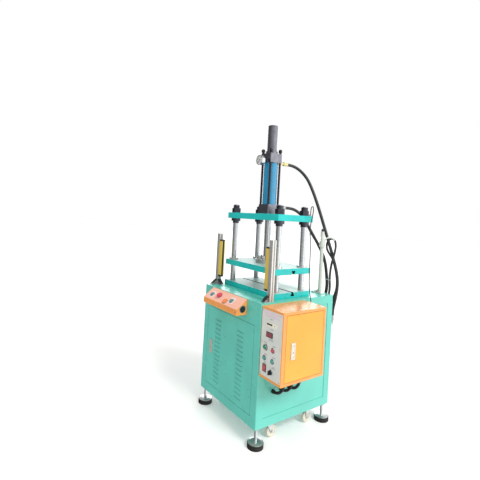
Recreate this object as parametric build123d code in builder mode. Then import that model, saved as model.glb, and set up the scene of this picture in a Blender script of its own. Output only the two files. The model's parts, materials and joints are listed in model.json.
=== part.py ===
from build123d import *
import math
import os

os.makedirs("parts", exist_ok=True)

# A four-column hydraulic press that stands on a steel cabinet.
# Lengths are in millimetres. x runs to the right, y to the back and z up from the floor.
# Places are counted from the middle of the cabinet and moved by frame_x and frame_y,
# which put the origin under the middle of the whole machine, hoses apart.

# Fits and gaps
running_fit = 0.05
seat_fit = 0.1
side_gap = 0.4
seam = 2.5

# Cabinet
cabinet_width = 650.0
cabinet_depth = 644.0
cabinet_bottom = 116.0
cabinet_top = 865.0
cabinet_corner = 6.0
sheet = 3.0
table_plate = 12.0
jamb_depth = 20.0
access_width = 537.0
access_bottom = 172.0
access_top = cabinet_top - 54.0
access_sheet = 2.0
access_lap = 12.0

# Front door of the cabinet
front_door_width = 532.0
front_door_bottom = 180.0
front_door_top = cabinet_top - 144.0
door_sheet = 2.0
front_door_depth = 20.0
hinge_inset = 5.0
hinge_pin_radius = 2.5
hinge_pin_length = 14.0
louvre_count = 15
louvre_pitch = 30.0
louvre_first = 228.0
louvre_width = 72.0
louvre_height = 9.0
louvre_stand = 5.0
louvre_wall = 1.5
louvre_column_x = 130.0

# Locks of both doors
lock_width = 32.0
lock_height = 94.0
lock_plate = 4.0
lock_rim = 5.0
lock_body_depth = 15.0
lock_pocket_depth = 10.0
lock_pin_radius = 1.5
lock_pin_inset = 4.5
lock_lever = 5.0
lever_end_gap = 1.2
front_lock_x = -208.0
front_lock_z = 446.0
box_lock_y = -232.0
box_lock_z = 634.0

# Feet
foot_inset_x = 27.0
foot_inset_y = 31.0
foot_radius = 50.0
foot_rubber = 28.0
foot_groove = 3.0
foot_disc = 12.0
stud_radius = 10.0
stud_inside = 20.0
jam_nut_flats = 30.0
jam_nut_height = 14.0

# Casters, which hang just off the floor while the feet carry the press
caster_x = 268.0
caster_y = 171.0
caster_trail = 25.0
wheel_radius = 37.5
wheel_width = 24.0
wheel_off_floor = 2.5
wheel_gap = 1.5
axle_radius = 4.0
cheek = 3.0
cheek_end = 12.0
crown_length = 40.0
crown_thickness = 4.0
swivel_radius = 22.0
swivel_height = 12.0
swivel_pin_radius = 6.0
caster_plate = 4.0
caster_plate_length = 72.0
caster_plate_width = 60.0

# Press plates and columns
press_y = -31.0
plate_width = 563.0
plate_depth = 314.0
bed_thickness = 36.0
daylight = 116.0
platen_thickness = 38.6
top_plate_underside = 1361.4
top_plate_thickness = 41.6
plate_edge = 1.5
column_x = 242.0
column_y = 111.6
column_radius = 19.0
thread_radius = 18.0
lower_collar_radius = 33.5
lower_collar_height = 20.0
neck_radius = 23.0
neck_height = 15.0
washer_radius = 32.0
washer_height = 5.0
column_nut_flats = 55.0
column_nut_height = 29.0
lock_nut_flats = 46.0
lock_nut_height = 22.0
thread_stand = 5.0
slot_width = 18.0
slot_neck = 12.0
slot_foot_width = 30.0
slot_foot_height = 12.0

# Cylinder and ram
cap_side = 108.0
cap_edge = 4.0
base_cap_height = 68.0
tube_radius = 50.0
tube_bore = 42.0
tube_length = 296.0
head_cap_height = 65.0
spigot_height = 10.0
port_radius = 10.0
port_depth = 14.0
tie_rod_radius = 8.0
tie_rod_pitch = 86.0
tie_rod_grip = 24.0
tie_neck_radius = 9.0
tie_neck_height = 11.0
tie_cap_radius = 13.0
tie_cap_height = 23.0
cover_radius = 35.0
cover_wall = 3.0
cover_height = 202.0
cover_collar_radius = 43.0
cover_collar_height = 17.0
ram_radius = 22.5
tail_radius = 18.0
tail_stand = 8.0
piston_length = 60.0
piston_lift = 30.0
flange_radius = 75.0
flange_height = 28.0
stud_circle = 52.0
stud_count = 6
flange_nut_flats = 24.0
flange_nut_height = 14.0
flange_stud_radius = 8.0
flange_stud_stand = 9.0
bush_radius = 26.0
bush_flange_radius = 33.0
bush_flange_height = 12.0
bush_screw_circle = 28.5
bush_screw_radius = 3.0

# Pressure gauge
gauge_z = 1777.0
gauge_radius = 34.5
gauge_reach = 57.0
gauge_rim = 3.5
gauge_drum = 26.0
gauge_dial_depth = 5.0
gauge_stem_radius = 7.0
gauge_boss_radius = 12.0
gauge_boss_length = 14.0
needle_pin_radius = 1.5
needle_hub_radius = 3.5
needle_thickness = 1.2
needle_length = 24.0
needle_tail = 8.0
needle_width = 1.8
needle_zero = 225.0

# Posts with light curtains
post_x = 300.0
post_y = -235.0
post_side = 30.0
post_height = 376.0
post_slot = 8.2
post_slot_lip = 2.0
post_slot_wide = 15.0
post_slot_depth = 5.0
post_core = 3.4
gusset_reach = 45.0
gusset_height = 38.0
gusset_width = 28.0
gusset_plate = 4.0
gusset_rib = 5.0
curtain_width = 32.0
curtain_depth = 28.0
curtain_rise = 73.0
curtain_height = 249.0
curtain_cap_low = 13.0
curtain_cap_high = 10.0
curtain_cap_step = 1.0
curtain_window = 14.0
curtain_window_margin = 6.0
curtain_window_depth = 1.0

# White pole that carries the hoses
pole_x = 250.0
pole_y = 265.0
pole_radius = 12.5
pole_top = 1301.0
pole_plug_radius = 9.0
pole_plug_height = 18.0
pole_clamp_z = 1212.0
pole_clamp_radius = 20.0
pole_clamp_height = 40.0
hook_rod_radius = 5.0
hook_span = 88.0
hook_rise = 49.0
hook_heading = 58.0
pole_foot_left = 64.0
pole_foot_right = 26.0
pole_foot_width = 40.0
pole_foot_height = 5.0
pole_rib_reach = 46.0
pole_rib_height = 26.0
pole_rib_width = 5.0
pole_bolt_flats = 13.0
pole_bolt_height = 5.5
pole_bolt_left = 52.0
pole_bolt_right = 18.0
pole_bolt_y = 12.0

# Two-hand control box on the front
hand_box_left = -212.0
hand_box_right = 185.0
hand_box_bottom = 767.0
hand_box_top = 862.0
hand_box_ledge = 3.0
hand_box_depth = 80.0
hand_box_front_height = 37.0
hand_box_sheet = 2.0
palm_stand = 35.0
palm_rise = 37.0
palm_radius = 19.2
palm_travel = 5.0

# Push buttons
button_travel = 3.0
button_radius = 11.0
button_ring = 15.0
disc_radius = 17.0
disc_ring = 20.0
start_extra = 2.0
left_start_x = -150.0
left_start_down = 57.0
orange_x = 26.0
orange_down = 72.0
right_start_x = 77.0
right_start_down = 52.0
stop_x = -63.0
stop_down = 48.0
mushroom_radius = 20.0
mushroom_travel = 4.0
mushroom_height = 12.0
mushroom_round = 5.0
stem_radius = 4.0
barrel_wall = 1.5
barrel_depth = 26.0
recess = 4.0
ring_height = 3.0
cap_stand = 6.0

# Electric control box on the right side
box_width = 188.0
box_front = -315.0
box_back = 34.0
box_bottom = 444.0
box_top = 855.0
box_sheet = 2.0
box_corner = 3.0
box_door_front = -287.6
box_door_back = 12.0
box_door_bottom = 463.0
box_door_top = 836.0
box_door_depth = 15.0
panel_width = 174.0
panel_height = 383.0
panel_sheet = 2.0
panel_left_column = -49.0
panel_right_column = 21.0
panel_upper_row = -25.0
panel_lower_row = -87.0
display_x = -14.0
display_z = 54.0
display_width = 54.0
display_height = 30.0
display_depth = 22.0
module_x = -14.0
module_z = 113.0
module_side = 24.0
module_stand = 3.0
rocker_x = -46.0
rocker_z = -144.0
rocker_half = 17.6
rocker_width = 23.0
rocker_tilt = 8.0
rocker_depth = 18.0
rocker_flange = 2.5
rocker_thickness = 3.0
rocker_crown = 7.5
rocker_waist = 5.5
pivot_depth = 3.0
selector_x = 12.0
selector_z = -150.0
selector_radius = 12.0
selector_height = 6.0
selector_grip = 8.0
selector_grip_height = 12.0
conduit_radius = 8.25
conduit_x = 90.0
conduit_first_y = -195.0
conduit_pitch = 66.0
conduit_z = 320.0
gland_radius = 13.0
gland_length = 12.0
gland_thread = 10.0
gland_inside = 8.0
sensor_gland_radius = 8.0
sensor_gland_thread = 6.0
sensor_gland_inside = 6.0
sensor_gland_length = 14.0
plate_gland_x = 268.0
plate_gland_y = 114.0
cable_gland_x = 27.0
cable_gland_z = 768.0

# Hoses and their fittings
hose_radius = 11.0
return_hose_radius = 7.5
fitting_reach = 98.0
fitting_hex = 28.0
fitting_hex_height = 22.0
elbow_hex_height = 12.0
elbow_inside = 18.0
fitting_radius = 9.0
ferrule_radius = 14.0
ferrule_length = 36.0
elbow_out = 33.0
elbow_z = 655.0
elbow_rise = 60.0
elbow_x = (200.0, 233.0, 266.0, 299.0)
cable_radius = 3.0

# Power unit inside the cabinet
tank_length = 470.0
tank_depth = 280.0
tank_height = 250.0
tank_x = 5.0
tank_y = 130.0
tank_lid = 6.0
tank_lap = 10.0
tank_corner = 8.0
filler_inset_x = 50.0
filler_inset_y = 45.0
filler_neck_radius = 26.0
filler_neck_height = 12.0
filler_cap_radius = 32.0
filler_cap_height = 34.0
sight_glass_x = 100.0
sight_glass_width = 30.0
sight_glass_height = 120.0
sight_glass_depth = 12.0
motor_radius = 78.0
motor_length = 220.0
motor_shaft_height = 92.0
motor_x = -190.0
motor_setback = 40.0
motor_foot_side = 150.0
motor_foot_height = 10.0
motor_saddle_width = 130.0
motor_saddle_depth = 90.0
terminal_box_width = 90.0
terminal_box_depth = 70.0
terminal_box_height = 38.0
terminal_box_sink = 6.0
fin_count = 24
fin_height = 7.0
fin_width = 3.0
fin_root = 2.0
fin_margin = 20.0
cowl_length = 42.0
cowl_stand = 2.0
cowl_wall = 3.0
cowl_lip_reach = 12.0
cowl_lip_start = 2.0
cowl_lip_end = 4.0
cowl_slant = 8.0
cowl_slant_length = 6.0
cowl_vent_radius = 39.0
fan_inset = 8.0
fan_hub_radius = 20.0
fan_hub_length = 22.0
fan_blade_count = 6
fan_blade_middle = 42.9
fan_blade_length = 46.8
fan_blade_thickness = 3.0
fan_blade_width = 18.0
fan_blade_inset = 2.0
shaft_radius = 12.0
bell_length = 92.0
bell_radius = 62.0
bell_wall = 8.0
bell_flange = 10.0
bell_flange_thickness = 8.0
bell_face_inset = 10.0
bell_bore = 14.0
bell_window_shift = 4.0
coupling_radius = 28.0
coupling_length = 50.0
coupling_socket = 20.0
pump_side = 84.0
pump_length = 88.0
pump_shaft_radius = 10.0
pump_shaft_length = 30.0
pump_pipe_radius = 14.0
manifold_width = 120.0
manifold_depth = 80.0
manifold_height = 90.0
manifold_shift = 55.0
manifold_chamfer = 3.0
valve_side = 46.0
valve_length = 90.0
coil_radius = 22.0
coil_length = 60.0

# Reaches of the machine from the middle of the cabinet
half_width = cabinet_width / 2
half_depth = cabinet_depth / 2
foot_x = half_width - foot_inset_x
foot_y = half_depth - foot_inset_y
left_reach = foot_x + foot_radius
right_reach = half_width + box_width + lock_plate
elbow_y = half_depth + elbow_out
rear_reach = max(elbow_y + ferrule_radius, foot_y + foot_radius)
front_reach = half_depth + hand_box_depth
frame_x = (left_reach - right_reach) / 2
frame_y = (front_reach - rear_reach) / 2

# Heights that follow from the sizes above
floor_inside = cabinet_bottom + sheet
bed_top = cabinet_top + bed_thickness
platen_bottom = bed_top + daylight
platen_top = platen_bottom + platen_thickness
top_plate_top = top_plate_underside + top_plate_thickness
base_cap_top = top_plate_top + base_cap_height
tube_top = base_cap_top + tube_length
head_cap_top = tube_top + head_cap_height
machine_height = head_cap_top + cover_height
cap_half = cap_side / 2
cap_front = press_y - cap_half
cap_rear = press_y + cap_half

STAND = (Align.CENTER, Align.CENTER, Align.MIN)


def flat(x, y, z):
    """A level plane that faces up."""
    return Plane((frame_x + x, frame_y + y, z))


def facing_front(x, y, z):
    """An upright plane that faces the operator; its second axis points up."""
    return Plane((frame_x + x, frame_y + y, z), x_dir=(1, 0, 0), z_dir=(0, -1, 0))


def facing_rear(x, y, z):
    """An upright plane that faces the back; its second axis points up."""
    return Plane((frame_x + x, frame_y + y, z), x_dir=(-1, 0, 0), z_dir=(0, 1, 0))


def facing_right(x, y, z):
    """An upright plane that faces right; its second axis points up."""
    return Plane((frame_x + x, frame_y + y, z), x_dir=(0, 1, 0), z_dir=(1, 0, 0))


def facing_left(x, y, z):
    """An upright plane that faces left; its second axis points up."""
    return Plane((frame_x + x, frame_y + y, z), x_dir=(0, -1, 0), z_dir=(-1, 0, 0))


def block(plane, length, width, height, mode=Mode.ADD):
    """A rectangular block that stands on the middle of a plane."""
    with Locations(plane):
        Box(length, width, height, align=STAND, mode=mode)


def bar(plane, radius, length, mode=Mode.ADD):
    """A round bar that stands on a plane."""
    with Locations(plane):
        Cylinder(radius, length, align=STAND, mode=mode)


def hexagon(plane, flats, height, bore=0.0):
    """A hexagonal nut that stands on a plane."""
    with BuildSketch(plane) as outline:
        RegularPolygon(flats / 2, 6, major_radius=False)
        if bore > 0:
            Circle(bore, mode=Mode.SUBTRACT)
    extrude(outline.sketch, amount=height)


def turned(plane, corners, mode=Mode.ADD):
    """A turned piece about the plane's normal, from its (radius, height) corners."""
    side = Plane(plane.origin, x_dir=plane.x_dir, z_dir=-plane.y_dir)
    with BuildSketch(side) as profile:
        with BuildLine():
            Polyline(*corners, close=True)
        make_face()
    revolve(profile.sketch, axis=Axis(plane.origin, plane.z_dir), mode=mode)


def four_corners(x, y):
    """The four places at plus and minus x and y, front left first."""
    return [(-x, -y), (x, -y), (-x, y), (x, y)]


# Hinge lines of the two doors
front_hinge_x = front_door_width / 2 - hinge_inset
front_hinge_y = -half_depth + hinge_inset
box_face = half_width + box_width
box_hinge_x = box_face - hinge_inset
box_hinge_y = box_door_back - hinge_inset
lock_plane_front = facing_front(front_lock_x, -half_depth, front_lock_z)
lock_plane_box = facing_right(box_face, box_lock_y, box_lock_z)
lock_body_width = lock_width - 2 * lock_rim + 2
lock_body_height = lock_height - 2 * lock_rim - 10
pocket_width = lock_body_width - 4
pocket_height = lock_body_height - 6


# Cabinet: floor, walls, table top and the folded edge of the door opening
opening_width = front_door_width + 2 * seam
opening_height = front_door_top - front_door_bottom + 2 * seam
opening_bottom = front_door_bottom - seam
access_height = access_top - access_bottom
with BuildPart() as cabinet_shell:
    block(flat(0, 0, cabinet_bottom), cabinet_width, cabinet_depth, cabinet_top - cabinet_bottom)
    fillet(cabinet_shell.edges().filter_by(Axis.Z), cabinet_corner)
    inside_height = cabinet_top - table_plate - floor_inside
    block(
        flat(0, 0, floor_inside),
        cabinet_width - 2 * sheet,
        cabinet_depth - 2 * sheet,
        inside_height,
        Mode.SUBTRACT,
    )
    jamb_middle_y = -half_depth + jamb_depth / 2
    block(
        flat(0, jamb_middle_y + sheet / 2, opening_bottom - sheet),
        opening_width + 2 * sheet,
        jamb_depth - sheet,
        opening_height + 2 * sheet,
    )
    block(flat(0, jamb_middle_y, opening_bottom), opening_width, jamb_depth, opening_height, Mode.SUBTRACT)
    block(
        flat(0, 0, access_bottom), cabinet_width, access_width, access_height, Mode.SUBTRACT
    )
    for x, y in four_corners(foot_x, foot_y):
        bar(flat(x, y, cabinet_bottom), stud_radius + seat_fit, sheet, Mode.SUBTRACT)
    for x in elbow_x:
        bar(facing_rear(x, half_depth - sheet, elbow_z), port_radius + seat_fit, sheet, Mode.SUBTRACT)
    pin_reach = seam + hinge_pin_length
    for z in (opening_bottom, front_door_top + seam - pin_reach):
        bar(flat(front_hinge_x, front_hinge_y, z), hinge_pin_radius, pin_reach)
cabinet_shell.part.label = "cabinet_shell"
export_step(cabinet_shell.part, "parts/cabinet_shell.step")


# Side panels, screwed on from inside the cabinet
with BuildPart() as access_panels:
    for side in (-1, 1):
        inner_face = half_width - sheet
        block(
            flat(side * (inner_face - access_sheet / 2), 0, access_bottom - access_lap),
            access_sheet,
            access_width + 2 * access_lap,
            access_height + 2 * access_lap,
        )
    conduit_places = [conduit_first_y + n * conduit_pitch for n in range(3)]
    for y in conduit_places:
        hole = facing_right(inner_face - access_sheet, y, conduit_z)
        bar(hole, gland_thread + seat_fit, access_sheet, Mode.SUBTRACT)
access_panels.part.label = "access_panels"
export_step(access_panels.part, "parts/access_panels.step")


# Feet: grooved rubber pads under steel discs with studs and jam nuts
with BuildPart() as foot_pads:
    for x, y in four_corners(foot_x, foot_y):
        inner = foot_radius - foot_groove
        ridge = foot_rubber / 5
        turned(
            flat(x, y, 0),
            [
                (0, 0),
                (foot_radius, 0),
                (foot_radius, ridge),
                (inner, ridge),
                (inner, 2 * ridge),
                (foot_radius, 2 * ridge),
                (foot_radius, 3 * ridge),
                (inner, 3 * ridge),
                (inner, 4 * ridge),
                (foot_radius, 4 * ridge),
                (foot_radius, foot_rubber),
                (0, foot_rubber),
            ],
        )
foot_pads.part.label = "foot_pads"
export_step(foot_pads.part, "parts/foot_pads.step")

with BuildPart() as foot_studs:
    for x, y in four_corners(foot_x, foot_y):
        stud_top = floor_inside + stud_inside
        turned(
            flat(x, y, 0),
            [
                (0, foot_rubber),
                (foot_radius - foot_groove, foot_rubber),
                (foot_radius - foot_groove, foot_rubber + foot_disc / 4),
                (foot_radius * 0.6, foot_rubber + foot_disc * 0.8),
                (stud_radius * 1.6, foot_rubber + foot_disc),
                (stud_radius, foot_rubber + foot_disc),
                (stud_radius, stud_top - 2),
                (stud_radius - 2, stud_top),
                (0, stud_top),
            ],
        )
        jam_nut = flat(x, y, cabinet_bottom - jam_nut_height)
        hexagon(jam_nut, jam_nut_flats, jam_nut_height, stud_radius + seat_fit)
foot_studs.part.label = "foot_studs"
export_step(foot_studs.part, "parts/foot_studs.step")


# Casters: the front pair swivels, the rear pair is rigid
axle_z = wheel_off_floor + wheel_radius
fork_inside = wheel_width / 2 + wheel_gap
fork_outside = fork_inside + cheek
plate_z = cabinet_bottom - caster_plate
crown_z = plate_z - side_gap - swivel_height - crown_thickness


def fork(x, y, trail, crown_bottom, crown_top):
    """Two cheeks under a crown, with the axle that carries the wheel."""
    half_crown = crown_length / 2
    for cheek_x in (x - fork_outside, x + fork_inside):
        with BuildSketch(facing_right(cheek_x, y, 0)) as outline:
            with BuildLine():
                Polyline(
                    (-half_crown, crown_top),
                    (half_crown, crown_top),
                    (half_crown, crown_bottom),
                    (trail + cheek_end, axle_z),
                    (trail - cheek_end, axle_z),
                    (-half_crown, crown_bottom),
                    close=True,
                )
            make_face()
            with Locations((trail, axle_z)):
                Circle(cheek_end)
        extrude(outline.sketch, amount=cheek)
    block(flat(x, y, crown_bottom), 2 * fork_outside, crown_length, crown_top - crown_bottom)
    axle_length = 2 * (fork_outside + cheek)
    bar(facing_right(x - axle_length / 2, y + trail, axle_z), axle_radius, axle_length)
    for end in (x - fork_outside - cheek, x + fork_outside):
        with BuildSketch(facing_right(end, y + trail, axle_z)) as nut:
            RegularPolygon(axle_radius * 1.6, 6, major_radius=False)
        extrude(nut.sketch, amount=cheek)


with BuildPart() as caster_mounts:
    for x in (-caster_x, caster_x):
        block(flat(x, -caster_y, plate_z), caster_plate_width, caster_plate_length, caster_plate)
        bar(flat(x, -caster_y, crown_z), swivel_pin_radius, plate_z - crown_z)
        block(flat(x, caster_y, plate_z), caster_plate_width, caster_plate_length, caster_plate)
        fork(x, caster_y, 0.0, plate_z - 2 * crown_thickness, plate_z)
caster_mounts.part.label = "caster_mounts"
export_step(caster_mounts.part, "parts/caster_mounts.step")

for x, side in ((-caster_x, "left"), (caster_x, "right")):
    with BuildPart() as swivel_fork:
        fork(x, -caster_y, caster_trail, crown_z, crown_z + crown_thickness)
        bar(flat(x, -caster_y, crown_z), swivel_radius, crown_thickness + swivel_height)
        pin_bore = swivel_pin_radius + running_fit
        bar(flat(x, -caster_y, crown_z), pin_bore, crown_thickness + swivel_height, Mode.SUBTRACT)
    swivel_fork.part.label = f"caster_fork_{side}"
    export_step(swivel_fork.part, f"parts/caster_fork_{side}.step")

for x, side in ((-caster_x, "left"), (caster_x, "right")):
    for y, end in ((-caster_y + caster_trail, "front"), (caster_y, "rear")):
        with BuildPart() as wheel:
            half = wheel_width / 2
            turned(
                facing_right(x, y, axle_z),
                [
                    (axle_radius + running_fit, -half),
                    (axle_radius * 3, -half),
                    (axle_radius * 3.5, -half * 0.55),
                    (wheel_radius * 0.72, -half * 0.55),
                    (wheel_radius * 0.8, -half * 0.95),
                    (wheel_radius * 0.93, -half * 0.95),
                    (wheel_radius, -half * 0.7),
                    (wheel_radius, half * 0.7),
                    (wheel_radius * 0.93, half * 0.95),
                    (wheel_radius * 0.8, half * 0.95),
                    (wheel_radius * 0.72, half * 0.55),
                    (axle_radius * 3.5, half * 0.55),
                    (axle_radius * 3, half),
                    (axle_radius + running_fit, half),
                ],
            )
        wheel.part.label = f"{end}_caster_wheel_{side}"
        export_step(wheel.part, f"parts/{end}_caster_wheel_{side}.step")


def lock_case(plane):
    """A lock body let into a door, with a plate in front, a pocket and two lever pins."""
    block(plane, lock_width, lock_height, lock_plate)
    with Locations(plane.offset(-lock_body_depth)):
        Box(lock_body_width, lock_body_height, lock_body_depth, align=STAND)
    with Locations(plane.offset(lock_plate - lock_pocket_depth)):
        Box(pocket_width, pocket_height, lock_pocket_depth, align=STAND, mode=Mode.SUBTRACT)
    pin_up = -pocket_height / 2 + lock_pin_inset
    pin_length = pocket_width / 4
    for start in (-pocket_width / 2, pocket_width / 2 - pin_length):
        spot = plane.from_local_coords((start, pin_up, lock_plate - lock_lever / 2 - side_gap))
        bar(Plane(spot, x_dir=plane.y_dir, z_dir=plane.x_dir), lock_pin_radius, pin_length)


def lock_lever_piece(plane):
    """The lever that lies in the pocket of a lock and swings out about its lower end."""
    lever_width = pocket_width - 2 * side_gap
    pin_depth = lock_plate - lock_lever / 2 - side_gap
    pin_up = -pocket_height / 2 + lock_pin_inset
    lever_low = pin_up - lock_pin_inset + lever_end_gap
    lever_high = pocket_height / 2 - side_gap
    lever_height = lever_high - lever_low
    back = plane.from_local_coords((0, (lever_low + lever_high) / 2, lock_plate - lock_lever - side_gap))
    block(Plane(back, x_dir=plane.x_dir, z_dir=plane.z_dir), lever_width, lever_height, lock_lever)
    spot = plane.from_local_coords((-pocket_width / 2, pin_up, pin_depth))
    pin_line = Plane(spot, x_dir=plane.y_dir, z_dir=plane.x_dir)
    bar(pin_line, lock_pin_radius + running_fit, pocket_width, Mode.SUBTRACT)
    finger = plane.from_local_coords((0, lever_high - lock_rim, lock_plate - side_gap))
    finger_grip = Plane(finger, x_dir=plane.x_dir, z_dir=plane.z_dir)
    with Locations(finger_grip):
        Box(lever_width * 0.6, lock_rim, lock_lever / 2, mode=Mode.SUBTRACT)


def folded_door(plane, width, height, depth, thickness):
    """A door folded from sheet: a face with four edges turned back."""
    with Locations(plane.offset(-depth)):
        Box(width, height, depth, align=STAND)
    with Locations(plane.offset(-depth)):
        Box(
            width - 2 * thickness,
            height - 2 * thickness,
            depth - thickness,
            align=STAND,
            mode=Mode.SUBTRACT,
        )


def louvres(column, length, corners, mode):
    """One column of louvre shapes, from the corners of one louvre seen from the side."""
    for n in range(louvre_count):
        edge = facing_right(column - length / 2, -half_depth, louvre_first + n * louvre_pitch)
        with BuildSketch(edge) as outline:
            with BuildLine():
                Polyline(*corners, close=True)
            make_face()
        extrude(outline.sketch, amount=length, mode=mode)


# Front door with two columns of pressed louvres
front_door_height = front_door_top - front_door_bottom
front_door_middle = (front_door_top + front_door_bottom) / 2
hood_corners = [(-louvre_stand, 0), (0, louvre_height), (door_sheet / 2, louvre_height), (door_sheet / 2, 0)]
mouth_depth = door_sheet + 1
mouth_top = louvre_height - 2 * louvre_wall
mouth_corners = [(louvre_wall - louvre_stand, -1), (0, mouth_top), (mouth_depth, mouth_top), (mouth_depth, -1)]
with BuildPart() as front_door:
    door_face = facing_front(0, -half_depth, front_door_middle)
    folded_door(door_face, front_door_width, front_door_height, front_door_depth, door_sheet)
    for column in (-louvre_column_x, louvre_column_x):
        louvres(column, louvre_width, hood_corners, Mode.ADD)
        louvres(column, louvre_width - 2 * louvre_wall, mouth_corners, Mode.SUBTRACT)
    for z in (front_door_bottom, front_door_top - hinge_pin_length):
        bore = flat(front_hinge_x, front_hinge_y, z)
        bar(bore, hinge_pin_radius + seat_fit, hinge_pin_length, Mode.SUBTRACT)
    lock_hole = lock_plane_front.offset(-lock_body_depth)
    hole_width = lock_body_width + 2 * seat_fit
    hole_height = lock_body_height + 2 * seat_fit
    block(lock_hole, hole_width, hole_height, 2 * lock_body_depth, Mode.SUBTRACT)
    lock_case(lock_plane_front.offset(seat_fit))
front_door.part.label = "front_door"
export_step(front_door.part, "parts/front_door.step")

with BuildPart() as front_lock_lever:
    lock_lever_piece(lock_plane_front.offset(seat_fit))
front_lock_lever.part.label = "front_lock_lever"
export_step(front_lock_lever.part, "parts/front_lock_lever.step")


# Press plates: each is drilled for the four columns
column_places = four_corners(column_x, column_y)


def press_plate(part, z, thickness, column_hole):
    """A ground plate with broken edges and four column holes."""
    block(flat(0, press_y, z), plate_width, plate_depth, thickness)
    chamfer(part.edges(), plate_edge)
    for x, y in column_places:
        bar(flat(x, press_y + y, z), column_hole, thickness, Mode.SUBTRACT)


def t_slot(face_z, into):
    """A slot for T-bolts along the width of a plate; into is -1 down or 1 up."""
    with BuildSketch(facing_right(-plate_width / 2, press_y, face_z)) as outline:
        with Locations((0, into * slot_neck / 2)):
            Rectangle(slot_width, slot_neck)
        with Locations((0, into * (slot_neck + slot_foot_height / 2))):
            Rectangle(slot_foot_width, slot_foot_height)
    extrude(outline.sketch, amount=plate_width, mode=Mode.SUBTRACT)


with BuildPart() as bed_plate:
    press_plate(bed_plate, cabinet_top, bed_thickness, column_radius + seat_fit)
    t_slot(bed_top, -1)
bed_plate.part.label = "bed_plate"
export_step(bed_plate.part, "parts/bed_plate.step")

with BuildPart() as top_plate:
    press_plate(top_plate, top_plate_underside, top_plate_thickness, thread_radius + seat_fit)
    bar(flat(0, press_y, top_plate_underside), ram_radius + 3, top_plate_thickness, Mode.SUBTRACT)
    tie_places = four_corners(tie_rod_pitch / 2, tie_rod_pitch / 2)
    for x, y in tie_places:
        hole = flat(x, press_y + y, top_plate_top - tie_rod_grip)
        bar(hole, tie_rod_radius + seat_fit, tie_rod_grip, Mode.SUBTRACT)
top_plate.part.label = "top_plate"
export_step(top_plate.part, "parts/top_plate.step")


# Columns and the nuts that clamp the top plate
neck_bottom = top_plate_underside - lower_collar_height - neck_height
nuts_top = top_plate_top + washer_height + column_nut_height + lock_nut_height
with BuildPart() as columns:
    for x, y in column_places:
        turned(
            flat(x, press_y + y, 0),
            [
                (0, cabinet_top),
                (column_radius, cabinet_top),
                (column_radius, neck_bottom),
                (thread_radius, neck_bottom),
                (thread_radius, nuts_top + thread_stand - 2),
                (thread_radius - 2, nuts_top + thread_stand),
                (0, nuts_top + thread_stand),
            ],
        )
columns.part.label = "columns"
export_step(columns.part, "parts/columns.step")

with BuildPart() as column_nuts:
    for x, y in column_places:
        foot = flat(x, press_y + y, bed_top)
        bar(foot.offset(neck_bottom - bed_top), neck_radius, neck_height)
        lower = foot.offset(neck_bottom + neck_height - bed_top)
        bar(lower, lower_collar_radius, lower_collar_height)
        above = foot.offset(top_plate_top - bed_top)
        bar(above, washer_radius, washer_height)
        hexagon(above.offset(washer_height), column_nut_flats, column_nut_height)
        lock_nut = above.offset(washer_height + column_nut_height)
        bar(lock_nut, lock_nut_flats / 2, lock_nut_height)
        nut_bore = foot.offset(neck_bottom - bed_top)
        bar(nut_bore, thread_radius + seat_fit, nuts_top - neck_bottom, Mode.SUBTRACT)
column_nuts.part.label = "column_nuts"
export_step(column_nuts.part, "parts/column_nuts.step")


# Cylinder: square end caps, tube, tie rods and the cover of the tail rod
def square_cap(z, height, bore):
    """A square cap with broken upright edges, a bore and four tie rod holes."""
    with BuildSketch(flat(0, press_y, z)) as outline:
        Rectangle(cap_side, cap_side)
        chamfer(outline.vertices(), cap_edge)
        Circle(bore, mode=Mode.SUBTRACT)
        with GridLocations(tie_rod_pitch, tie_rod_pitch, 2, 2):
            Circle(tie_rod_radius + seat_fit, mode=Mode.SUBTRACT)
    extrude(outline.sketch, amount=height)


def spigot(z, bore):
    """The ring of a cap that centres the tube."""
    with BuildSketch(flat(0, press_y, z)) as ring:
        Circle(tube_bore - seat_fit)
        Circle(bore, mode=Mode.SUBTRACT)
    extrude(ring.sketch, amount=spigot_height)


fitting_a_z = gauge_z
fitting_b_z = base_cap_top - 14
with BuildPart() as cylinder_caps:
    square_cap(top_plate_top, base_cap_height, ram_radius + running_fit)
    spigot(base_cap_top, ram_radius + running_fit)
    square_cap(tube_top, head_cap_height, tail_radius + running_fit)
    spigot(tube_top - spigot_height, tail_radius + running_fit)
    cover_seat = flat(0, press_y, head_cap_top)
    bar(cover_seat, cover_collar_radius, cover_collar_height)
    bar(cover_seat, cover_radius + seat_fit, cover_collar_height, Mode.SUBTRACT)
    gauge_port = facing_front(0, cap_front + port_depth, gauge_z)
    bar(gauge_port, gauge_stem_radius + seat_fit, port_depth, Mode.SUBTRACT)
    for z in (fitting_a_z, fitting_b_z):
        hose_port = facing_rear(0, cap_rear - port_depth, z)
        bar(hose_port, port_radius + seat_fit, port_depth, Mode.SUBTRACT)
cylinder_caps.part.label = "cylinder_caps"
export_step(cylinder_caps.part, "parts/cylinder_caps.step")

with BuildPart() as cylinder_tube:
    with BuildSketch(flat(0, press_y, base_cap_top)):
        Circle(tube_radius)
        Circle(tube_bore, mode=Mode.SUBTRACT)
    extrude(amount=tube_length)
cylinder_tube.part.label = "cylinder_tube"
export_step(cylinder_tube.part, "parts/cylinder_tube.step")

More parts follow.
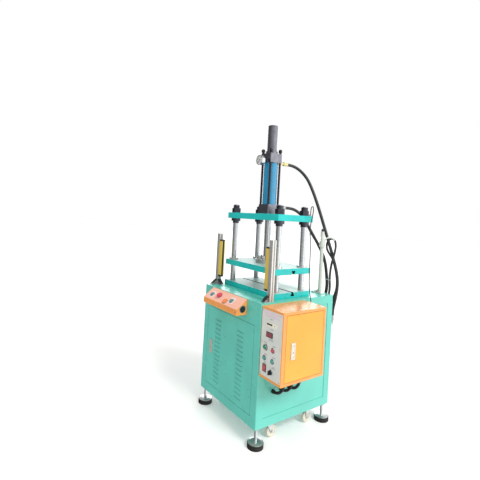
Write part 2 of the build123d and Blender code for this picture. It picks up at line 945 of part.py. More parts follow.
with BuildPart() as tie_rods:
    for x, y in tie_places:
        rod = flat(x, press_y + y, top_plate_top - tie_rod_grip)
        bar(rod, tie_rod_radius, head_cap_top - top_plate_top + tie_rod_grip)
        bar(flat(x, press_y + y, head_cap_top), tie_neck_radius, tie_neck_height)
        turned(
            flat(x, press_y + y, head_cap_top + tie_neck_height),
            [
                (0, 0),
                (tie_cap_radius, 0),
                (tie_cap_radius, tie_cap_height * 0.6),
                (tie_cap_radius * 0.85, tie_cap_height * 0.85),
                (tie_cap_radius * 0.5, tie_cap_height),
                (0, tie_cap_height),
            ],
        )
tie_rods.part.label = "tie_rods"
export_step(tie_rods.part, "parts/tie_rods.step")

with BuildPart() as stroke_cover:
    turned(
        flat(0, press_y, head_cap_top),
        [
            (cover_radius - cover_wall, 0),
            (cover_radius, 0),
            (cover_radius, cover_height - 2),
            (cover_radius - 2, cover_height),
            (0, cover_height),
            (0, cover_height - cover_wall),
            (cover_radius - cover_wall, cover_height - cover_wall),
        ],
    )
stroke_cover.part.label = "stroke_cover"
export_step(stroke_cover.part, "parts/stroke_cover.step")


# Moving parts of the press: ram with its piston, flange, platen and guide bushes
piston_bottom = base_cap_top + piston_lift
tail_top = head_cap_top + tail_stand
with BuildPart() as ram_rod:
    piston_radius = tube_bore - running_fit
    turned(
        flat(0, press_y, 0),
        [
            (0, platen_top),
            (ram_radius, platen_top),
            (ram_radius, piston_bottom),
            (piston_radius, piston_bottom),
            (piston_radius, piston_bottom + piston_length),
            (tail_radius, piston_bottom + piston_length),
            (tail_radius, tail_top - 2),
            (tail_radius - 2, tail_top),
            (0, tail_top),
        ],
    )
ram_rod.part.label = "ram_rod"
export_step(ram_rod.part, "parts/ram_rod.step")

with BuildPart() as ram_flange:
    with BuildSketch(flat(0, press_y, platen_top)) as ring:
        Circle(flange_radius)
        Circle(ram_radius + seat_fit, mode=Mode.SUBTRACT)
    extrude(ring.sketch, amount=flange_height)
    chamfer(ram_flange.edges().filter_by(GeomType.CIRCLE).group_by(Axis.Z)[-1], 2)
    flange_face = flat(0, press_y, platen_top + flange_height)
    for n in range(stud_count):
        turn = math.radians(360 / stud_count * n)
        spot = flange_face.from_local_coords((stud_circle * math.cos(turn), stud_circle * math.sin(turn)))
        hexagon(Plane(spot), flange_nut_flats, flange_nut_height)
        bar(Plane(spot), flange_stud_radius, flange_nut_height + flange_stud_stand)
ram_flange.part.label = "ram_flange"
export_step(ram_flange.part, "parts/ram_flange.step")

with BuildPart() as moving_platen:
    press_plate(moving_platen, platen_bottom, platen_thickness, bush_radius + seat_fit)
    t_slot(platen_bottom, 1)
moving_platen.part.label = "moving_platen"
export_step(moving_platen.part, "parts/moving_platen.step")

with BuildPart() as guide_bushes:
    for x, y in column_places:
        with BuildSketch(flat(x, press_y + y, platen_bottom)) as sleeve:
            Circle(bush_radius)
            Circle(column_radius + running_fit, mode=Mode.SUBTRACT)
        extrude(sleeve.sketch, amount=platen_thickness)
        with BuildSketch(flat(x, press_y + y, platen_top)) as flange:
            Circle(bush_flange_radius)
            Circle(column_radius + running_fit, mode=Mode.SUBTRACT)
        extrude(flange.sketch, amount=bush_flange_height)
        with BuildSketch(flat(x, press_y + y, platen_top + bush_flange_height)) as heads:
            with PolarLocations(bush_screw_circle, 4, start_angle=45):
                Circle(bush_screw_radius)
        extrude(heads.sketch, amount=bush_screw_radius)
guide_bushes.part.label = "guide_bushes"
export_step(guide_bushes.part, "parts/guide_bushes.step")


# Pressure gauge on the front of the head cap
gauge_face = facing_front(0, cap_front - gauge_reach, gauge_z)
with BuildPart() as gauge_case:
    inner_rim = gauge_radius - gauge_rim
    turned(
        gauge_face,
        [
            (0, -gauge_reach - port_depth),
            (gauge_stem_radius, -gauge_reach - port_depth),
            (gauge_stem_radius, 2 - gauge_reach),
            (gauge_boss_radius, 4 - gauge_reach),
            (gauge_boss_radius, gauge_boss_length - gauge_reach),
            (gauge_radius - 3, -gauge_drum - 3),
            (gauge_radius, -gauge_drum),
            (gauge_radius, 0),
            (inner_rim, 0),
            (inner_rim, -gauge_dial_depth),
            (needle_pin_radius, -gauge_dial_depth),
            (needle_pin_radius, -gauge_dial_depth / 3),
            (0, -gauge_dial_depth / 3),
        ],
    )
gauge_case.part.label = "gauge_case"
export_step(gauge_case.part, "parts/gauge_case.step")

with BuildPart() as gauge_needle:
    needle_plane = gauge_face.offset(-gauge_dial_depth / 2 - needle_thickness / 2)
    with BuildSketch(needle_plane) as outline:
        with Locations(Rotation(0, 0, needle_zero)):
            with Locations(((needle_length - needle_tail) / 2, 0)):
                Rectangle(needle_length + needle_tail, needle_width)
        Circle(needle_hub_radius)
        Circle(needle_pin_radius + running_fit, mode=Mode.SUBTRACT)
    extrude(outline.sketch, amount=needle_thickness)
gauge_needle.part.label = "gauge_needle"
export_step(gauge_needle.part, "parts/gauge_needle.step")


# Slotted aluminium posts, their feet and the light curtains
with BuildPart() as curtain_posts:
    for x in (-post_x, post_x):
        with BuildSketch(flat(x, post_y, cabinet_top)) as section:
            Rectangle(post_side, post_side)
            Circle(post_core, mode=Mode.SUBTRACT)
            lip_middle = (post_side - post_slot_lip) / 2
            slot_middle = post_side / 2 - post_slot_lip - post_slot_depth / 2
            with PolarLocations(lip_middle, 4):
                Rectangle(post_slot_lip, post_slot, mode=Mode.SUBTRACT)
            with PolarLocations(slot_middle, 4):
                Trapezoid(post_slot_wide, post_slot_depth, 45, rotation=90, mode=Mode.SUBTRACT)
        extrude(section.sketch, amount=post_height)
curtain_posts.part.label = "curtain_posts"
export_step(curtain_posts.part, "parts/curtain_posts.step")


def gusset(plane):
    """An angle bracket in a corner: one leg on the table, one on the post, a rib between."""
    with BuildSketch(plane) as legs:
        with BuildLine():
            Polyline(
                (0, 0),
                (gusset_reach, 0),
                (gusset_reach, gusset_plate),
                (gusset_plate, gusset_plate),
                (gusset_plate, gusset_height),
                (0, gusset_height),
                close=True,
            )
        make_face()
    extrude(legs.sketch, amount=gusset_width / 2, both=True)
    with BuildSketch(plane) as rib:
        with BuildLine():
            Polyline((0, 0), (gusset_reach - 4, 0), (gusset_plate, gusset_height), (0, gusset_height), close=True)
        make_face()
    extrude(rib.sketch, amount=gusset_rib / 2, both=True)


with BuildPart() as post_brackets:
    post_half = post_side / 2
    gusset(facing_left(-post_x, post_y - post_half, cabinet_top))
    gusset(facing_left(post_x, post_y - post_half, cabinet_top))
    gusset(facing_front(-post_x + post_half, post_y, cabinet_top))
    gusset(facing_rear(post_x - post_half, post_y, cabinet_top))
post_brackets.part.label = "post_brackets"
export_step(post_brackets.part, "parts/post_brackets.step")

with BuildPart() as light_curtains:
    for side in (-1, 1):
        middle_x = side * (post_x - post_half - curtain_width / 2)
        body = flat(middle_x, post_y, cabinet_top + curtain_rise)
        block(body, curtain_width, curtain_depth, curtain_height)
        slim_width = curtain_width - 2 * curtain_cap_step
        slim_depth = curtain_depth - 2 * curtain_cap_step
        block(body.offset(-curtain_cap_low), slim_width, slim_depth, curtain_cap_low)
        block(body.offset(curtain_height), slim_width, slim_depth, curtain_cap_high)
        window_x = side * (post_x - post_half - curtain_width + curtain_window_depth / 2)
        window = flat(window_x, post_y, cabinet_top + curtain_rise + curtain_window_margin)
        window_height = curtain_height - 2 * curtain_window_margin
        block(window, curtain_window_depth, curtain_window, window_height, Mode.SUBTRACT)
light_curtains.part.label = "light_curtains"
export_step(light_curtains.part, "parts/light_curtains.step")


# White pole with a clamp and an arched hook
with BuildPart() as hose_pole:
    pole = flat(pole_x, pole_y, cabinet_top)
    bar(pole, pole_radius, pole_top - cabinet_top)
    bar(flat(pole_x, pole_y, pole_top), pole_plug_radius, pole_plug_height)
    foot_middle_x = pole_x + (pole_foot_right - pole_foot_left) / 2
    foot_length = pole_foot_left + pole_foot_right
    block(flat(foot_middle_x, pole_y, cabinet_top), foot_length, pole_foot_width, pole_foot_height)
    with BuildSketch(facing_front(pole_x, pole_y, cabinet_top + pole_foot_height)) as rib:
        with BuildLine():
            Polyline((0, 0), (0, pole_rib_height), (-pole_radius, pole_rib_height), (-pole_rib_reach, 0), close=True)
        make_face()
    extrude(rib.sketch, amount=pole_rib_width / 2, both=True)
    for x, y in ((-pole_bolt_left, -pole_bolt_y), (-pole_bolt_left, pole_bolt_y), (pole_bolt_right, -pole_bolt_y)):
        bolt = flat(pole_x + x, pole_y + y, cabinet_top + pole_foot_height)
        hexagon(bolt, pole_bolt_flats, pole_bolt_height)
    clamp_bottom = pole_clamp_z - pole_clamp_height / 2
    bar(flat(pole_x, pole_y, clamp_bottom), pole_clamp_radius, pole_clamp_height)
    heading = math.radians(hook_heading)
    away = Vector(math.cos(heading), math.sin(heading), 0)
    arch = Plane(flat(pole_x, pole_y, pole_clamp_z).origin, x_dir=away, z_dir=away.cross(Vector(0, 0, 1)))
    with BuildLine(arch) as arch_line:
        ThreePointArc((pole_radius, 0), (hook_span * 0.6, hook_rise), (hook_span, hook_rise * 0.6))
    arch_start = Plane(arch_line.line @ 0, z_dir=arch_line.line % 0)
    with BuildSketch(arch_start) as rod_section:
        Circle(hook_rod_radius)
    sweep(rod_section.sketch, path=arch_line.line)
hose_pole.part.label = "hose_pole"
export_step(hose_pole.part, "parts/hose_pole.step")


# Push buttons: each bezel holds a barrel behind the panel, and the button slides in it
def bezel(plane, ring_radius, bore_radius):
    """A ring on the panel, with a barrel behind it that guides a stem."""
    barrel_radius = bore_radius + barrel_wall
    turned(
        plane,
        [
            (stem_radius + running_fit, -barrel_depth),
            (barrel_radius, -barrel_depth),
            (barrel_radius, 0),
            (ring_radius, 0),
            (ring_radius, ring_height - 1),
            (ring_radius - 1, ring_height),
            (bore_radius, ring_height),
            (bore_radius, -recess),
            (stem_radius + running_fit, -recess),
        ],
    )


def push_button(plane, radius, travel, base, height):
    """A button cap on its stem; base is the underside of the cap."""
    turned(
        plane,
        [
            (0, -barrel_depth),
            (stem_radius, -barrel_depth),
            (stem_radius, base),
            (radius, base),
            (radius, height - 1.5),
            (radius - 1.5, height),
            (0, height),
        ],
    )


def panel_hole(plane, bore_radius, wall):
    """The hole of a bezel's barrel through a panel of the given wall."""
    radius = bore_radius + barrel_wall + seat_fit
    bar(plane.offset(-wall - 1), radius, wall + 2, Mode.SUBTRACT)


# Two-hand control box
slope_run = hand_box_depth - hand_box_ledge
slope_drop = hand_box_top - hand_box_bottom - hand_box_front_height
slope_length = math.hypot(slope_run, slope_drop)
slope_out = Vector(0, -slope_drop / slope_length, slope_run / slope_length)
hand_box_middle = (hand_box_left + hand_box_right) / 2
hand_box_length = hand_box_right - hand_box_left


def on_slope(x, down):
    """A plane on the sloping top, at a distance down from its upper edge."""
    y = -half_depth - hand_box_ledge - down * slope_run / slope_length
    z = hand_box_top - down * slope_drop / slope_length
    return Plane((frame_x + x, frame_y + y, z), x_dir=(1, 0, 0), z_dir=slope_out)


bore_gap = side_gap
start_radius = button_radius + start_extra
start_ring = button_ring + start_extra
hand_buttons = {
    "left_start_button": (on_slope(left_start_x, left_start_down), start_radius, start_ring),
    "orange_button": (on_slope(orange_x, orange_down), disc_radius, disc_ring),
    "right_start_button": (on_slope(right_start_x, right_start_down), start_radius, start_ring),
}
stop_place = on_slope(stop_x, stop_down)
stop_ring = start_ring
palm_y = -half_depth - palm_stand
palm_z = hand_box_bottom + palm_rise
palm_places = {
    "left_palm_button": facing_left(hand_box_left, palm_y, palm_z),
    "right_palm_button": facing_right(hand_box_right, palm_y, palm_z),
}
palm_bore = palm_radius + bore_gap

with BuildPart() as two_hand_box:
    for length, shrink, mode in (
        (hand_box_length, 0.0, Mode.ADD),
        (hand_box_length - 2 * hand_box_sheet, hand_box_sheet, Mode.SUBTRACT),
    ):
        with BuildSketch(facing_right(hand_box_middle, -half_depth, 0)) as outline:
            with BuildLine():
                Polyline(
                    (0, hand_box_bottom),
                    (0, hand_box_top),
                    (-hand_box_ledge, hand_box_top),
                    (-hand_box_depth, hand_box_bottom + hand_box_front_height),
                    (-hand_box_depth, hand_box_bottom),
                    close=True,
                )
            make_face()
            if shrink > 0:
                offset(amount=-shrink)
        extrude(outline.sketch, amount=length / 2, both=True, mode=mode)
    for place, radius, ring in hand_buttons.values():
        panel_hole(place, radius + bore_gap, hand_box_sheet)
    panel_hole(stop_place, button_radius + bore_gap, hand_box_sheet)
    for place in palm_places.values():
        panel_hole(place, palm_bore, hand_box_sheet)
two_hand_box.part.label = "two_hand_box"
export_step(two_hand_box.part, "parts/two_hand_box.step")


# Electric control box with its panel
box_middle_x = half_width + box_width / 2
box_middle_y = (box_front + box_back) / 2
box_depth = box_back - box_front
panel_z = (box_bottom + box_top) / 2 + 2
panel_face_y = box_front - panel_sheet
panel_place = facing_front(box_middle_x, panel_face_y, panel_z)


def on_panel(x, z):
    """A plane on the control panel, counted from its middle."""
    return facing_front(box_middle_x + x, panel_face_y, panel_z + z)


panel_buttons = {
    "panel_green_button": on_panel(panel_left_column, panel_upper_row),
    "panel_red_button": on_panel(panel_right_column, panel_upper_row),
    "panel_jog_up_button": on_panel(panel_left_column, panel_lower_row),
    "panel_jog_down_button": on_panel(panel_right_column, panel_lower_row),
}
panel_bore = button_radius + bore_gap
panel_stack = panel_sheet + box_sheet
selector_place = on_panel(selector_x, selector_z)
rocker_place = on_panel(rocker_x, rocker_z)
rocker_body_width = rocker_width + 3
rocker_body_height = 2 * rocker_half + 4.8
display_place = on_panel(display_x, display_z)
display_body_width = display_width - 4
display_body_height = display_height - 4
sensor_gland_place = facing_rear(half_width + cable_gland_x, box_back, cable_gland_z)


def panel_openings(wall):
    """Every hole that the panel and the front of the box share."""
    for place in panel_buttons.values():
        panel_hole(place, panel_bore, wall)
    panel_hole(selector_place, panel_bore, wall)
    for place, width, height in (
        (rocker_place, rocker_body_width, rocker_body_height),
        (display_place, display_body_width, display_body_height),
    ):
        wide = width + 2 * seat_fit
        high = height + 2 * seat_fit
        block(place.offset(-wall - 1), wide, high, wall + 2, Mode.SUBTRACT)


with BuildPart() as control_box:
    block(flat(box_middle_x, box_middle_y, box_bottom), box_width, box_depth, box_top - box_bottom)
    fillet(control_box.edges().filter_by(Axis.Z), box_corner)
    hollow_width = box_width - 2 * box_sheet
    hollow_depth = box_depth - 2 * box_sheet
    hollow_height = box_top - box_bottom - 2 * box_sheet
    hollow = flat(box_middle_x, box_middle_y, box_bottom + box_sheet)
    block(hollow, hollow_width, hollow_depth, hollow_height, Mode.SUBTRACT)
    door_middle_y = (box_door_front + box_door_back) / 2
    door_opening_depth = box_door_back - box_door_front + 2 * seam
    door_opening_height = box_door_top - box_door_bottom + 2 * seam
    jamb_x = box_face - box_sheet - (jamb_depth - box_sheet) / 2
    box_jamb = flat(jamb_x, door_middle_y, box_door_bottom - seam - box_sheet)
    jamb_wide = door_opening_depth + 2 * box_sheet
    jamb_high = door_opening_height + 2 * box_sheet
    block(box_jamb, jamb_depth - box_sheet, jamb_wide, jamb_high)
    door_opening = flat(box_face - jamb_depth / 2, door_middle_y, box_door_bottom - seam)
    block(door_opening, jamb_depth, door_opening_depth, door_opening_height, Mode.SUBTRACT)
    for z in (box_door_bottom - seam, box_door_top + seam - pin_reach):
        bar(flat(box_hinge_x, box_hinge_y, z), hinge_pin_radius, pin_reach)
    panel_openings(panel_stack)
    for y in conduit_places:
        hole = flat(half_width + conduit_x, y, box_bottom)
        bar(hole, gland_thread + seat_fit, box_sheet, Mode.SUBTRACT)
    gland_hole = sensor_gland_place.offset(-box_sheet)
    bar(gland_hole, sensor_gland_thread + seat_fit, box_sheet, Mode.SUBTRACT)
control_box.part.label = "control_box"
export_step(control_box.part, "parts/control_box.step")

with BuildPart() as control_panel:
    block(panel_place.offset(-panel_sheet), panel_width, panel_height, panel_sheet)
    panel_openings(panel_sheet)
control_panel.part.label = "control_panel"
export_step(control_panel.part, "parts/control_panel.step")

box_door_middle_z = (box_door_bottom + box_door_top) / 2
with BuildPart() as box_door:
    door_face = facing_right(box_face, door_middle_y, box_door_middle_z)
    door_wide = box_door_back - box_door_front
    door_high = box_door_top - box_door_bottom
    folded_door(door_face, door_wide, door_high, box_door_depth, door_sheet)
    for z in (box_door_bottom, box_door_top - hinge_pin_length):
        bore = flat(box_hinge_x, box_hinge_y, z)
        bar(bore, hinge_pin_radius + seat_fit, hinge_pin_length, Mode.SUBTRACT)
    lock_hole = lock_plane_box.offset(-lock_body_depth)
    block(lock_hole, hole_width, hole_height, 2 * lock_body_depth, Mode.SUBTRACT)
    lock_case(lock_plane_box.offset(seat_fit))
box_door.part.label = "box_door"
export_step(box_door.part, "parts/box_door.step")

with BuildPart() as box_lock_lever:
    lock_lever_piece(lock_plane_box.offset(seat_fit))
box_lock_lever.part.label = "box_lock_lever"
export_step(box_lock_lever.part, "parts/box_lock_lever.step")


# Bezels of every button, the display, the timer and the rocker's frame
with BuildPart() as button_bezels:
    for place, radius, ring in hand_buttons.values():
        bezel(place, ring, radius + bore_gap)
    bezel(stop_place, stop_ring, button_radius + bore_gap)
    for place in palm_places.values():
        bezel(place, palm_bore + barrel_wall + 2, palm_bore)
    for place in panel_buttons.values():
        bezel(place, button_ring, panel_bore)
    bezel(selector_place, button_ring, panel_bore)
    block(rocker_place.offset(-rocker_depth), rocker_body_width, rocker_body_height, rocker_depth)
    block(rocker_place, rocker_body_width + 4, rocker_body_height + 4, rocker_flange)
    cavity = rocker_place.offset(rocker_flange - rocker_depth + 2)
    cavity_width = rocker_width + 2 * side_gap
    cavity_height = 2 * rocker_half + 2.4
    block(cavity, cavity_width, cavity_height, rocker_depth, Mode.SUBTRACT)
    pivot = rocker_place.from_local_coords((-cavity_width / 2, 0, -pivot_depth))
    pivot_line = Plane(pivot, x_dir=rocker_place.y_dir, z_dir=rocker_place.x_dir)
    bar(pivot_line, lock_pin_radius, cavity_width)
    block(display_place.offset(-display_depth), display_body_width, display_body_height, display_depth)
    block(display_place, display_width, display_height, module_stand)
    block(display_place.offset(module_stand - 1), display_width - 6, display_height - 6, 1, Mode.SUBTRACT)
    block(on_panel(module_x, module_z), module_side, module_side, module_stand)
button_bezels.part.label = "button_bezels"
export_step(button_bezels.part, "parts/button_bezels.step")


# The buttons themselves
low_cap = side_gap + button_travel - recess
for name, (place, radius, ring) in hand_buttons.items():
    with BuildPart() as button:
        push_button(place, radius, button_travel, low_cap, ring_height + cap_stand)
    button.part.label = name
    export_step(button.part, f"parts/{name}.step")

for name, place in panel_buttons.items():
    with BuildPart() as button:
        push_button(place, button_radius, button_travel, low_cap, ring_height + cap_stand)
    button.part.label = name
    export_step(button.part, f"parts/{name}.step")

for name, place in palm_places.items():
    with BuildPart() as button:
        push_button(place, palm_radius, palm_travel, side_gap + palm_travel - recess, ring_height)
    button.part.label = name
    export_step(button.part, f"parts/{name}.step")

with BuildPart() as stop_button:
    head_base = ring_height + mushroom_travel + side_gap
    head_top = head_base + mushroom_height
    turned(
        stop_place,
        [
            (0, -barrel_depth),
            (stem_radius, -barrel_depth),
            (stem_radius, mushroom_travel - recess + side_gap),
            (button_radius, mushroom_travel - recess + side_gap),
            (button_radius, head_base),
            (mushroom_radius, head_base),
            (mushroom_radius, head_top - mushroom_round),
            (mushroom_radius - mushroom_round, head_top - 1),
            (0, head_top),
        ],
    )
stop_button.part.label = "stop_button"
export_step(stop_button.part, "parts/stop_button.step")

with BuildPart() as rocker_switch:
    pivot_centre = rocker_place.from_local_coords((0, 0, -pivot_depth))
    lean = math.radians(rocker_tilt)
    lean_out = Vector(0, -math.cos(lean), math.sin(lean))
    lean_plane = Plane(pivot_centre, x_dir=(1, 0, 0), z_dir=lean_out)
    rocker_side = Plane(lean_plane.origin, x_dir=lean_plane.z_dir, z_dir=-lean_plane.x_dir)
    with BuildSketch(rocker_side) as outline:
        with BuildLine():
            Polyline(
                (-rocker_thickness, -rocker_half),
                (rocker_crown, -rocker_half),
                (rocker_waist, 0),
                (rocker_crown, rocker_half),
                (-rocker_thickness, rocker_half),
                close=True,
            )
        make_face()
        Circle(lock_pin_radius + running_fit, mode=Mode.SUBTRACT)
    extrude(outline.sketch, amount=rocker_width / 2, both=True)
rocker_switch.part.label = "rocker_switch"
export_step(rocker_switch.part, "parts/rocker_switch.step")

with BuildPart() as selector_knob:
    knob_base = ring_height + side_gap
    turned(
        selector_place,
        [
            (0, -barrel_depth),
            (stem_radius, -barrel_depth),
            (stem_radius, knob_base),
            (selector_radius, knob_base),
            (selector_radius, knob_base + selector_height),
            (0, knob_base + selector_height),
        ],
    )
    knob_top = selector_place.offset(knob_base + selector_height)
    block(knob_top, selector_grip, 2 * selector_radius - 2, selector_grip_height)
selector_knob.part.label = "selector_knob"
export_step(selector_knob.part, "parts/selector_knob.step")


# Three conduits from the bottom of the control box into the cabinet
with BuildPart() as conduits:
    for y in conduit_places:
        top = flat(half_width + conduit_x, y, box_bottom)
        side = facing_right(half_width - sheet, y, conduit_z)
        bar(top.offset(-gland_length), gland_radius, gland_length)
        bar(top, gland_thread, gland_inside)
        bar(side, gland_radius, gland_length)
        bar(side.offset(-gland_inside), gland_thread, gland_inside)
        straight_top = box_bottom - gland_length
        conduit_bend = conduit_x + sheet - gland_length
        bend_top = (half_width + conduit_x, conduit_z + conduit_bend)
        bend_end = (half_width + conduit_x - conduit_bend, conduit_z)
        with BuildLine(facing_front(0, y, 0)) as route:
            Line((half_width + conduit_x, straight_top), bend_top)
            RadiusArc(bend_top, bend_end, conduit_bend)
        with BuildSketch(flat(half_width + conduit_x, y, straight_top)) as section:
            Circle(conduit_radius)
        sweep(section.sketch, path=route.line)
conduits.part.label = "conduits"
export_step(conduits.part, "parts/conduits.step")


# Power unit in the cabinet: tank, motor with rotor, pump and valve manifold
tank_top = floor_inside + tank_height
lid_top = tank_top + tank_lid
motor_y = tank_y + motor_setback
motor_z = lid_top + motor_shaft_height
motor_end = motor_x + motor_length
bell_end = motor_end + bell_length
with BuildPart() as oil_tank:
    block(flat(tank_x, tank_y, floor_inside), tank_length, tank_depth, tank_height)
    fillet(oil_tank.edges().filter_by(Axis.Z), tank_corner)
    lid_length = tank_length + 2 * tank_lap
    block(flat(tank_x, tank_y, tank_top), lid_length, tank_depth + 2 * tank_lap, tank_lid)
    tank_front = tank_y - tank_depth / 2
    filler = flat(tank_x - tank_length / 2 + filler_inset_x, tank_front + filler_inset_y, lid_top)
    bar(filler, filler_neck_radius, filler_neck_height)
    bar(filler.offset(filler_neck_height), filler_cap_radius, filler_cap_height)
    sight_glass = facing_front(tank_x + sight_glass_x, tank_front, floor_inside + tank_height / 2)
    block(sight_glass, sight_glass_width, sight_glass_height, sight_glass_depth)
oil_tank.part.label = "oil_tank"
export_step(oil_tank.part, "parts/oil_tank.step")

with BuildPart() as motor:
    bar(facing_right(motor_x, motor_y, motor_z), motor_radius, motor_length)
    with BuildSketch(facing_right(motor_x + fin_margin, motor_y, motor_z)) as fins:
        with PolarLocations(motor_radius + (fin_height - fin_root) / 2, fin_count):
            Rectangle(fin_height + fin_root, fin_width)
    extrude(fins.sketch, amount=motor_length - 2 * fin_margin)
    motor_foot = flat(motor_x + motor_length / 2, motor_y, lid_top)
    block(motor_foot, motor_foot_side, motor_foot_side, motor_foot_height)
    saddle_height = motor_shaft_height - motor_radius / 2
    block(motor_foot, motor_saddle_width, motor_saddle_depth, saddle_height)
    terminal_box = motor_foot.offset(motor_shaft_height + motor_radius - terminal_box_sink)
    block(terminal_box, terminal_box_width, terminal_box_depth, terminal_box_height)
    cowl = facing_right(motor_x, motor_y, motor_z)
    cowl_radius = motor_radius + cowl_stand
    cowl_bore = cowl_radius - cowl_wall
    turned(
        cowl,
        [
            (motor_radius - cowl_lip_reach, cowl_lip_start),
            (motor_radius - cowl_lip_reach, cowl_lip_end),
            (cowl_radius, cowl_lip_end),
            (cowl_radius, cowl_slant_length - cowl_length),
            (cowl_radius - cowl_slant, -cowl_length),
            (cowl_vent_radius, -cowl_length),
            (cowl_vent_radius, cowl_wall - cowl_length),
            (cowl_bore - cowl_slant_length, cowl_wall - cowl_length),
            (cowl_bore, cowl_slant - cowl_length),
            (cowl_bore, cowl_lip_start),
        ],
    )
    bar(cowl, shaft_radius + running_fit, motor_length, Mode.SUBTRACT)
motor.part.label = "motor"
export_step(motor.part, "parts/motor.step")

with BuildPart() as motor_rotor:
    shaft_start = motor_x - cowl_length + fan_inset
    shaft_end = motor_end + bell_length / 2
    bar(facing_right(shaft_start, motor_y, motor_z), shaft_radius, shaft_end - shaft_start)
    bar(facing_right(shaft_start, motor_y, motor_z), fan_hub_radius, fan_hub_length)
    with BuildSketch(facing_right(shaft_start + fan_blade_inset, motor_y, motor_z)) as blades:
        with PolarLocations(fan_blade_middle, fan_blade_count):
            Rectangle(fan_blade_length, fan_blade_thickness)
    extrude(blades.sketch, amount=fan_blade_width)
    coupling = facing_right(motor_end + (bell_length - coupling_length) / 2, motor_y, motor_z)
    bar(coupling, coupling_radius, coupling_length)
    socket = coupling.offset(coupling_length - coupling_socket)
    bar(socket, pump_shaft_radius + running_fit, coupling_socket, Mode.SUBTRACT)
motor_rotor.part.label = "motor_rotor"
export_step(motor_rotor.part, "parts/motor_rotor.step")

with BuildPart() as pump:
    bell_face = bell_length - bell_face_inset
    turned(
        facing_right(motor_end, motor_y, motor_z),
        [
            (bell_radius - bell_wall, 0),
            (bell_radius + bell_flange, 0),
            (bell_radius + bell_flange, bell_flange_thickness),
            (bell_radius, bell_flange_thickness),
            (bell_radius, bell_face),
            (bell_bore, bell_face),
            (bell_bore, bell_face - bell_wall),
            (bell_radius - bell_wall, bell_face - bell_wall),
        ],
    )
    window = flat(motor_end + bell_length / 2 - bell_window_shift, motor_y, motor_z)
    block(window, bell_length / 2, bell_radius, 2 * bell_radius, Mode.SUBTRACT)
    pump_front = facing_right(bell_end - bell_face_inset, motor_y, motor_z)
    block(pump_front, pump_side, pump_side, pump_length)
    pipe_x = bell_end + pump_length / 2
    bar(flat(pipe_x, motor_y, lid_top), pump_pipe_radius, motor_shaft_height)
    pump_shaft = facing_right(bell_end - pump_shaft_length, motor_y, motor_z)
    bar(pump_shaft, pump_shaft_radius, pump_shaft_length)
pump.part.label = "pump"
export_step(pump.part, "parts/pump.step")

with BuildPart() as valve_manifold:
    manifold_x = tank_x + manifold_shift
    manifold_y = tank_y - tank_depth / 2 + manifold_depth / 2
    block(flat(manifold_x, manifold_y, lid_top), manifold_width, manifold_depth, manifold_height)
    chamfer(valve_manifold.edges().filter_by(Axis.Z), manifold_chamfer)
    valve_base = lid_top + manifold_height
    block(flat(manifold_x, manifold_y, valve_base), valve_length, valve_side, valve_side)
    for start in (manifold_x - valve_length / 2 - coil_length, manifold_x + valve_length / 2):
        bar(facing_right(start, manifold_y, valve_base + valve_side / 2), coil_radius, coil_length)
valve_manifold.part.label = "valve_manifold"
export_step(valve_manifold.part, "parts/valve_manifold.step")


# Hose fittings: two straight ones on the cylinder, elbows through the back of the cabinet
def hose_end(plane, reach):
    """A stem with the crimped ferrule that a hose leaves."""
    bar(plane, fitting_radius, reach - ferrule_length)
    bar(plane.offset(reach - ferrule_length), ferrule_radius, ferrule_length)


with BuildPart() as hose_fittings:
    for z in (fitting_a_z, fitting_b_z):
        port = facing_rear(0, cap_rear, z)
        bar(port.offset(-port_depth + 1), port_radius, port_depth - 1)
        hexagon(port, fitting_hex, fitting_hex_height)
        hose_end(port, fitting_reach)
    for x in elbow_x:
        wall = facing_rear(x, half_depth, elbow_z)
        bar(wall.offset(-sheet - elbow_inside), port_radius, sheet + elbow_inside)
        hexagon(wall, fitting_hex, elbow_hex_height)
        hexagon(wall.offset(-sheet - elbow_hex_height), fitting_hex, elbow_hex_height)
        bar(wall, fitting_radius, elbow_out)
        with Locations(flat(x, elbow_y, elbow_z)):
            Sphere(fitting_radius)
        hose_end(flat(x, elbow_y, elbow_z), elbow_rise)
    gland_tail = box_sheet + sensor_gland_inside
    bar(sensor_gland_place.offset(-gland_tail), sensor_gland_thread, gland_tail)
    bar(sensor_gland_place, sensor_gland_radius, sensor_gland_length)
    bar(flat(plate_gland_x, plate_gland_y, top_plate_top), sensor_gland_radius, sensor_gland_length)
hose_fittings.part.label = "hose_fittings"
export_step(hose_fittings.part, "parts/hose_fittings.step")


